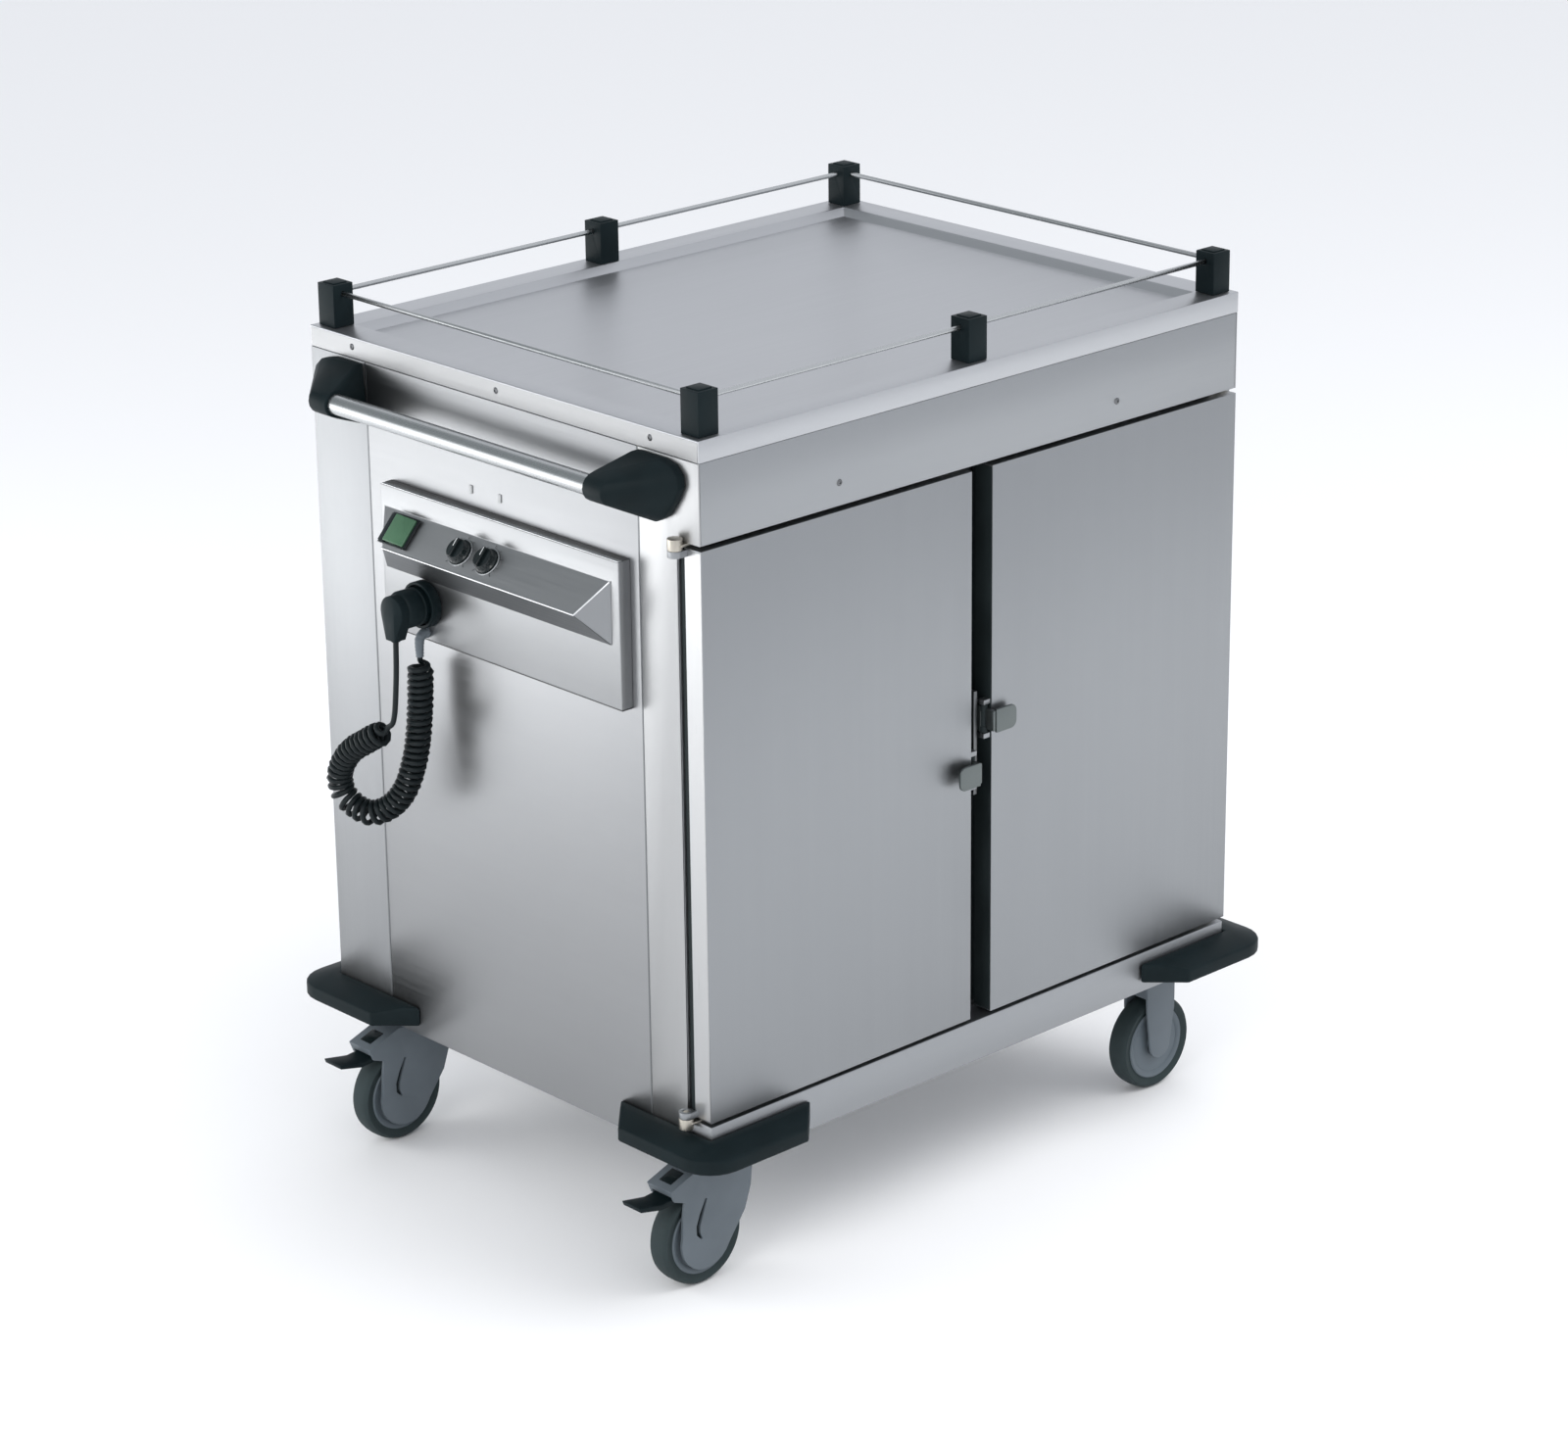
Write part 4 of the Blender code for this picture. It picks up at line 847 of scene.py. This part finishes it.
def make_handle():
    """The two brackets and the push bar between them."""
    for end in ("front", "rear"):
        soften(f"handle_bracket_{end}", BLACK, 0.0024, 3, 35, 24)
    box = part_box("handle_tube")
    middle = (box[0] + box[1]) / 2
    radius = (box[1].z - box[0].z) / 2
    line = [(middle.x, box[0].y, middle.z), (middle.x, box[1].y, middle.z)]
    bar = piece("push_bar", tube(line, radius, 10), BAR_STEEL, "cabinet")
    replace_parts(bar, "handle_tube")


def make_gallery():
    """Six posts with raised caps, and the rod through them."""
    for row in ("front", "rear"):
        for column in ("left", "middle", "right"):
            node = f"gallery_post_{row}_{column}"
            soften(node, BLACK, 0.0022, 3)
            low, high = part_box(node)
            cap_low = (low.x + CAP_INSET, low.y + CAP_INSET, high.z - 0.001)
            cap_high = (high.x - CAP_INSET, high.y - CAP_INSET, high.z + CAP_HEIGHT)
            piece(f"{node}_cap", cube(cap_low, cap_high, 0.0010), BLACK, "cabinet", 40)
    soften("gallery_rail", BAR_STEEL, 0.0001, 1, 60)


def make_bumpers():
    for end in ("front_left", "front_right", "rear_left", "rear_right"):
        soften(f"bumper_{end}", BLACK, 0.0030, 3)


make_handle()
make_gallery()
make_bumpers()

# ---------------------------------------------------------------- casters


def make_wheel(node):
    """A tyre with a crowned tread on a dished hub."""
    low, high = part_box(node)
    centre = (low + high) / 2
    w, r = (high.y - low.y) / 2, (high.z - low.z) / 2
    place = axes((0, 1, 0), centre)
    tread = [
        (0.0478, 0.0128),
        (0.0492, 0.0118),
        (0.0520, 0.0122),
        (0.0555, 0.0148),
        (0.0585, 0.0150),
        (0.0612, 0.0120),
        (r - 0.0004, 0.0080),
        (r, 0.0030),
    ]
    tyre = tread + [(radius, -height) for radius, height in reversed(tread)]
    body, name = BODIES[node], node.replace("_wheel", "")
    made = piece(f"{name}_tyre", revolved(tyre, place, 80), TYRE, body, 35)
    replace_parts(made, node)
    web = [
        (0.0060, w - 0.0006),
        (0.0120, w - 0.0006),
        (0.0135, w - 0.0014),
        (0.0145, 0.0112),
        (0.0400, 0.0112),
        (0.0420, 0.0130),
        (0.0470, 0.0140),
        (0.0484, 0.0128),
    ]
    hub = web + [(radius, -height) for radius, height in reversed(web)]
    piece(f"{name}_hub", revolved(hub, place, 80), HUB_GREY, body, 35)


# dark discs as painted shade, seen through the slots in the fork legs and fixed brackets
SLOT_SHADE_INNER, SLOT_SHADE_NEAR, SLOT_SHADE_FAR = 0.0068, 0.0162, 0.0170
FORK_SLOT_SHADE_RADIUS, BRACKET_SLOT_SHADE_RADIUS = 0.0385, 0.0180


def make_slot_shades(node, wheel, radius):
    """Two thin dark discs between the fork's legs and the hub, painted shade seen through the legs' slots."""
    low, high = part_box(wheel)
    centre = (low + high) / 2
    outline = [(SLOT_SHADE_INNER, SLOT_SHADE_NEAR), (radius, SLOT_SHADE_NEAR), (radius, SLOT_SHADE_FAR), (SLOT_SHADE_INNER, SLOT_SHADE_FAR)]
    for sign, side in ((-1, "near"), (1, "far")):
        ring = revolved(outline, axes((0, sign, 0), centre), 64)
        piece(f"{node}_{side}_slot_shade", ring, GASKET, BODIES[node], 35)


def make_casters():
    """The swivel casters at the push bar's end and the fixed ones at the other."""
    for end in ("front", "rear"):
        for kind in ("swivel", "fixed"):
            make_wheel(f"{end}_{kind}_wheel")
        fork = f"{end}_swivel_fork"
        soften(fork, FORK_GREY, 0.0016, 3)
        make_slot_shades(fork, f"{end}_swivel_wheel", FORK_SLOT_SHADE_RADIUS)
        soften(f"{end}_swivel_plate", PLATED_STEEL, 0.0008)
        soften(f"{end}_swivel_pedal", BLACK, 0.0012, 2)
        bracket = f"{end}_fixed_bracket"
        soften(bracket, FORK_GREY, 0.0018, 3)
        make_slot_shades(bracket, f"{end}_fixed_wheel", BRACKET_SLOT_SHADE_RADIUS)
        make_recess_shade(f"{end}_fork_recess_shade", fork)


def make_recess_shade(name, fork):
    """A dark pad as painted shade in the square pocket on the fork's sloping nose."""
    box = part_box(fork)
    middle = (box[0].y + box[1].y) / 2
    high, low = Vector((box[0].x + 0.046, 0, box[1].z)), Vector((box[0].x, 0, box[1].z - 0.0165))
    along = (low - high).normalized()
    out = Vector((-0.337, 0, 0.941))
    place = local(high.lerp(low, 0.56) + Vector((0, middle, 0)), out - along * out.dot(along), along)
    # a dark pad standing for the shade in the recess, painted shade
    shade_pad = placed(cube((-0.0115, -0.0105, -0.0010), (0.0115, 0.0105, 0.0006), 0.0005), place)
    piece(name, shade_pad, BLACK_GLOSS, BODIES[fork], 35)


make_casters()

# ---------------------------------------------------------------- floor, light and finish


FLOOR_SIZE = 30
STUDIO, STUDIO_SHADE = (0.93, 0.95, 1.0, 1), (0.36, 0.39, 0.41, 1)
SHADE_DIRECTION = Vector((-0.41, 0.69, 0.60)).normalized()
SHADE_EDGE, SHADE_CORE = 0.70, 0.97


def make_stage():
    """A wide pale floor."""
    bm = bmesh.new()
    bmesh.ops.create_grid(bm, x_segments=2, y_segments=2, size=FLOOR_SIZE)
    floor = bpy.data.objects.new("floor", mesh_from(bm))
    pale = Nodes("floor_pale", (0.95, 0.95, 0.95), 0.8)
    pale.value("Specular IOR Level", 0.2)
    floor.data.materials.append(pale.material)
    bpy.context.scene.collection.objects.link(floor)


def make_light(name, place, target, size, power, colour=(1, 1, 1), glossy=True):
    """A soft rectangular light, which polished metal reflects or doesn't."""
    data = bpy.data.lights.new(name, "AREA")
    data.shape = "RECTANGLE"
    data.size, data.size_y = size
    data.energy = power
    data.color = colour
    light = bpy.data.objects.new(name, data)
    light.visible_camera = False
    light.visible_glossy = glossy
    direction = Vector(target) - Vector(place)
    light.matrix_world = Matrix.Translation(place) @ direction.to_track_quat("-Z", "Y").to_matrix().to_4x4()
    bpy.context.scene.collection.objects.link(light)


def make_world():
    """A pale studio, dimmer towards one high corner behind the trolley, which its console reflects."""
    world = bpy.data.worlds.new("studio")
    world.use_nodes = True
    tree = world.node_tree
    background = tree.nodes["Background"]
    background.inputs["Strength"].default_value = 1.0
    place = tree.nodes.new("ShaderNodeTexCoord")
    towards = tree.nodes.new("ShaderNodeVectorMath")
    towards.operation = "DOT_PRODUCT"
    towards.inputs[1].default_value = SHADE_DIRECTION
    span = tree.nodes.new("ShaderNodeMapRange")
    span.interpolation_type = "SMOOTHSTEP"
    span.inputs["From Min"].default_value = SHADE_EDGE
    span.inputs["From Max"].default_value = SHADE_CORE
    mix = tree.nodes.new("ShaderNodeMix")
    mix.data_type = "RGBA"
    mix.inputs[6].default_value = STUDIO
    mix.inputs[7].default_value = STUDIO_SHADE
    tree.links.new(place.outputs["Generated"], towards.inputs[0])
    tree.links.new(towards.outputs["Value"], span.inputs["Value"])
    tree.links.new(span.outputs["Result"], mix.inputs["Factor"])
    tree.links.new(mix.outputs[2], background.inputs["Color"])
    bpy.context.scene.world = world


make_stage()
make_world()
make_light("overhead", (2.2, -2.6, 3.5), (2.1, -2.5, 0.0), (3.2, 3.2), 105, glossy=False)
make_light("far_pool", (-2.9, 2.7, 2.0), (-2.9, 2.7, 0.0), (2.0, 2.0), 60, glossy=False)
make_light("low_card", (-1.85, 1.62, 0.66), (-0.45, 0.1, 0.90), (3.2, 1.10), 19.0)
make_light("side", (-3.4, -1.2, 2.4), (-0.3, 0.0, 0.5), (1.6, 1.6), 30, (1.0, 0.99, 0.97))

bpy.context.scene.view_settings.view_transform = "Standard"
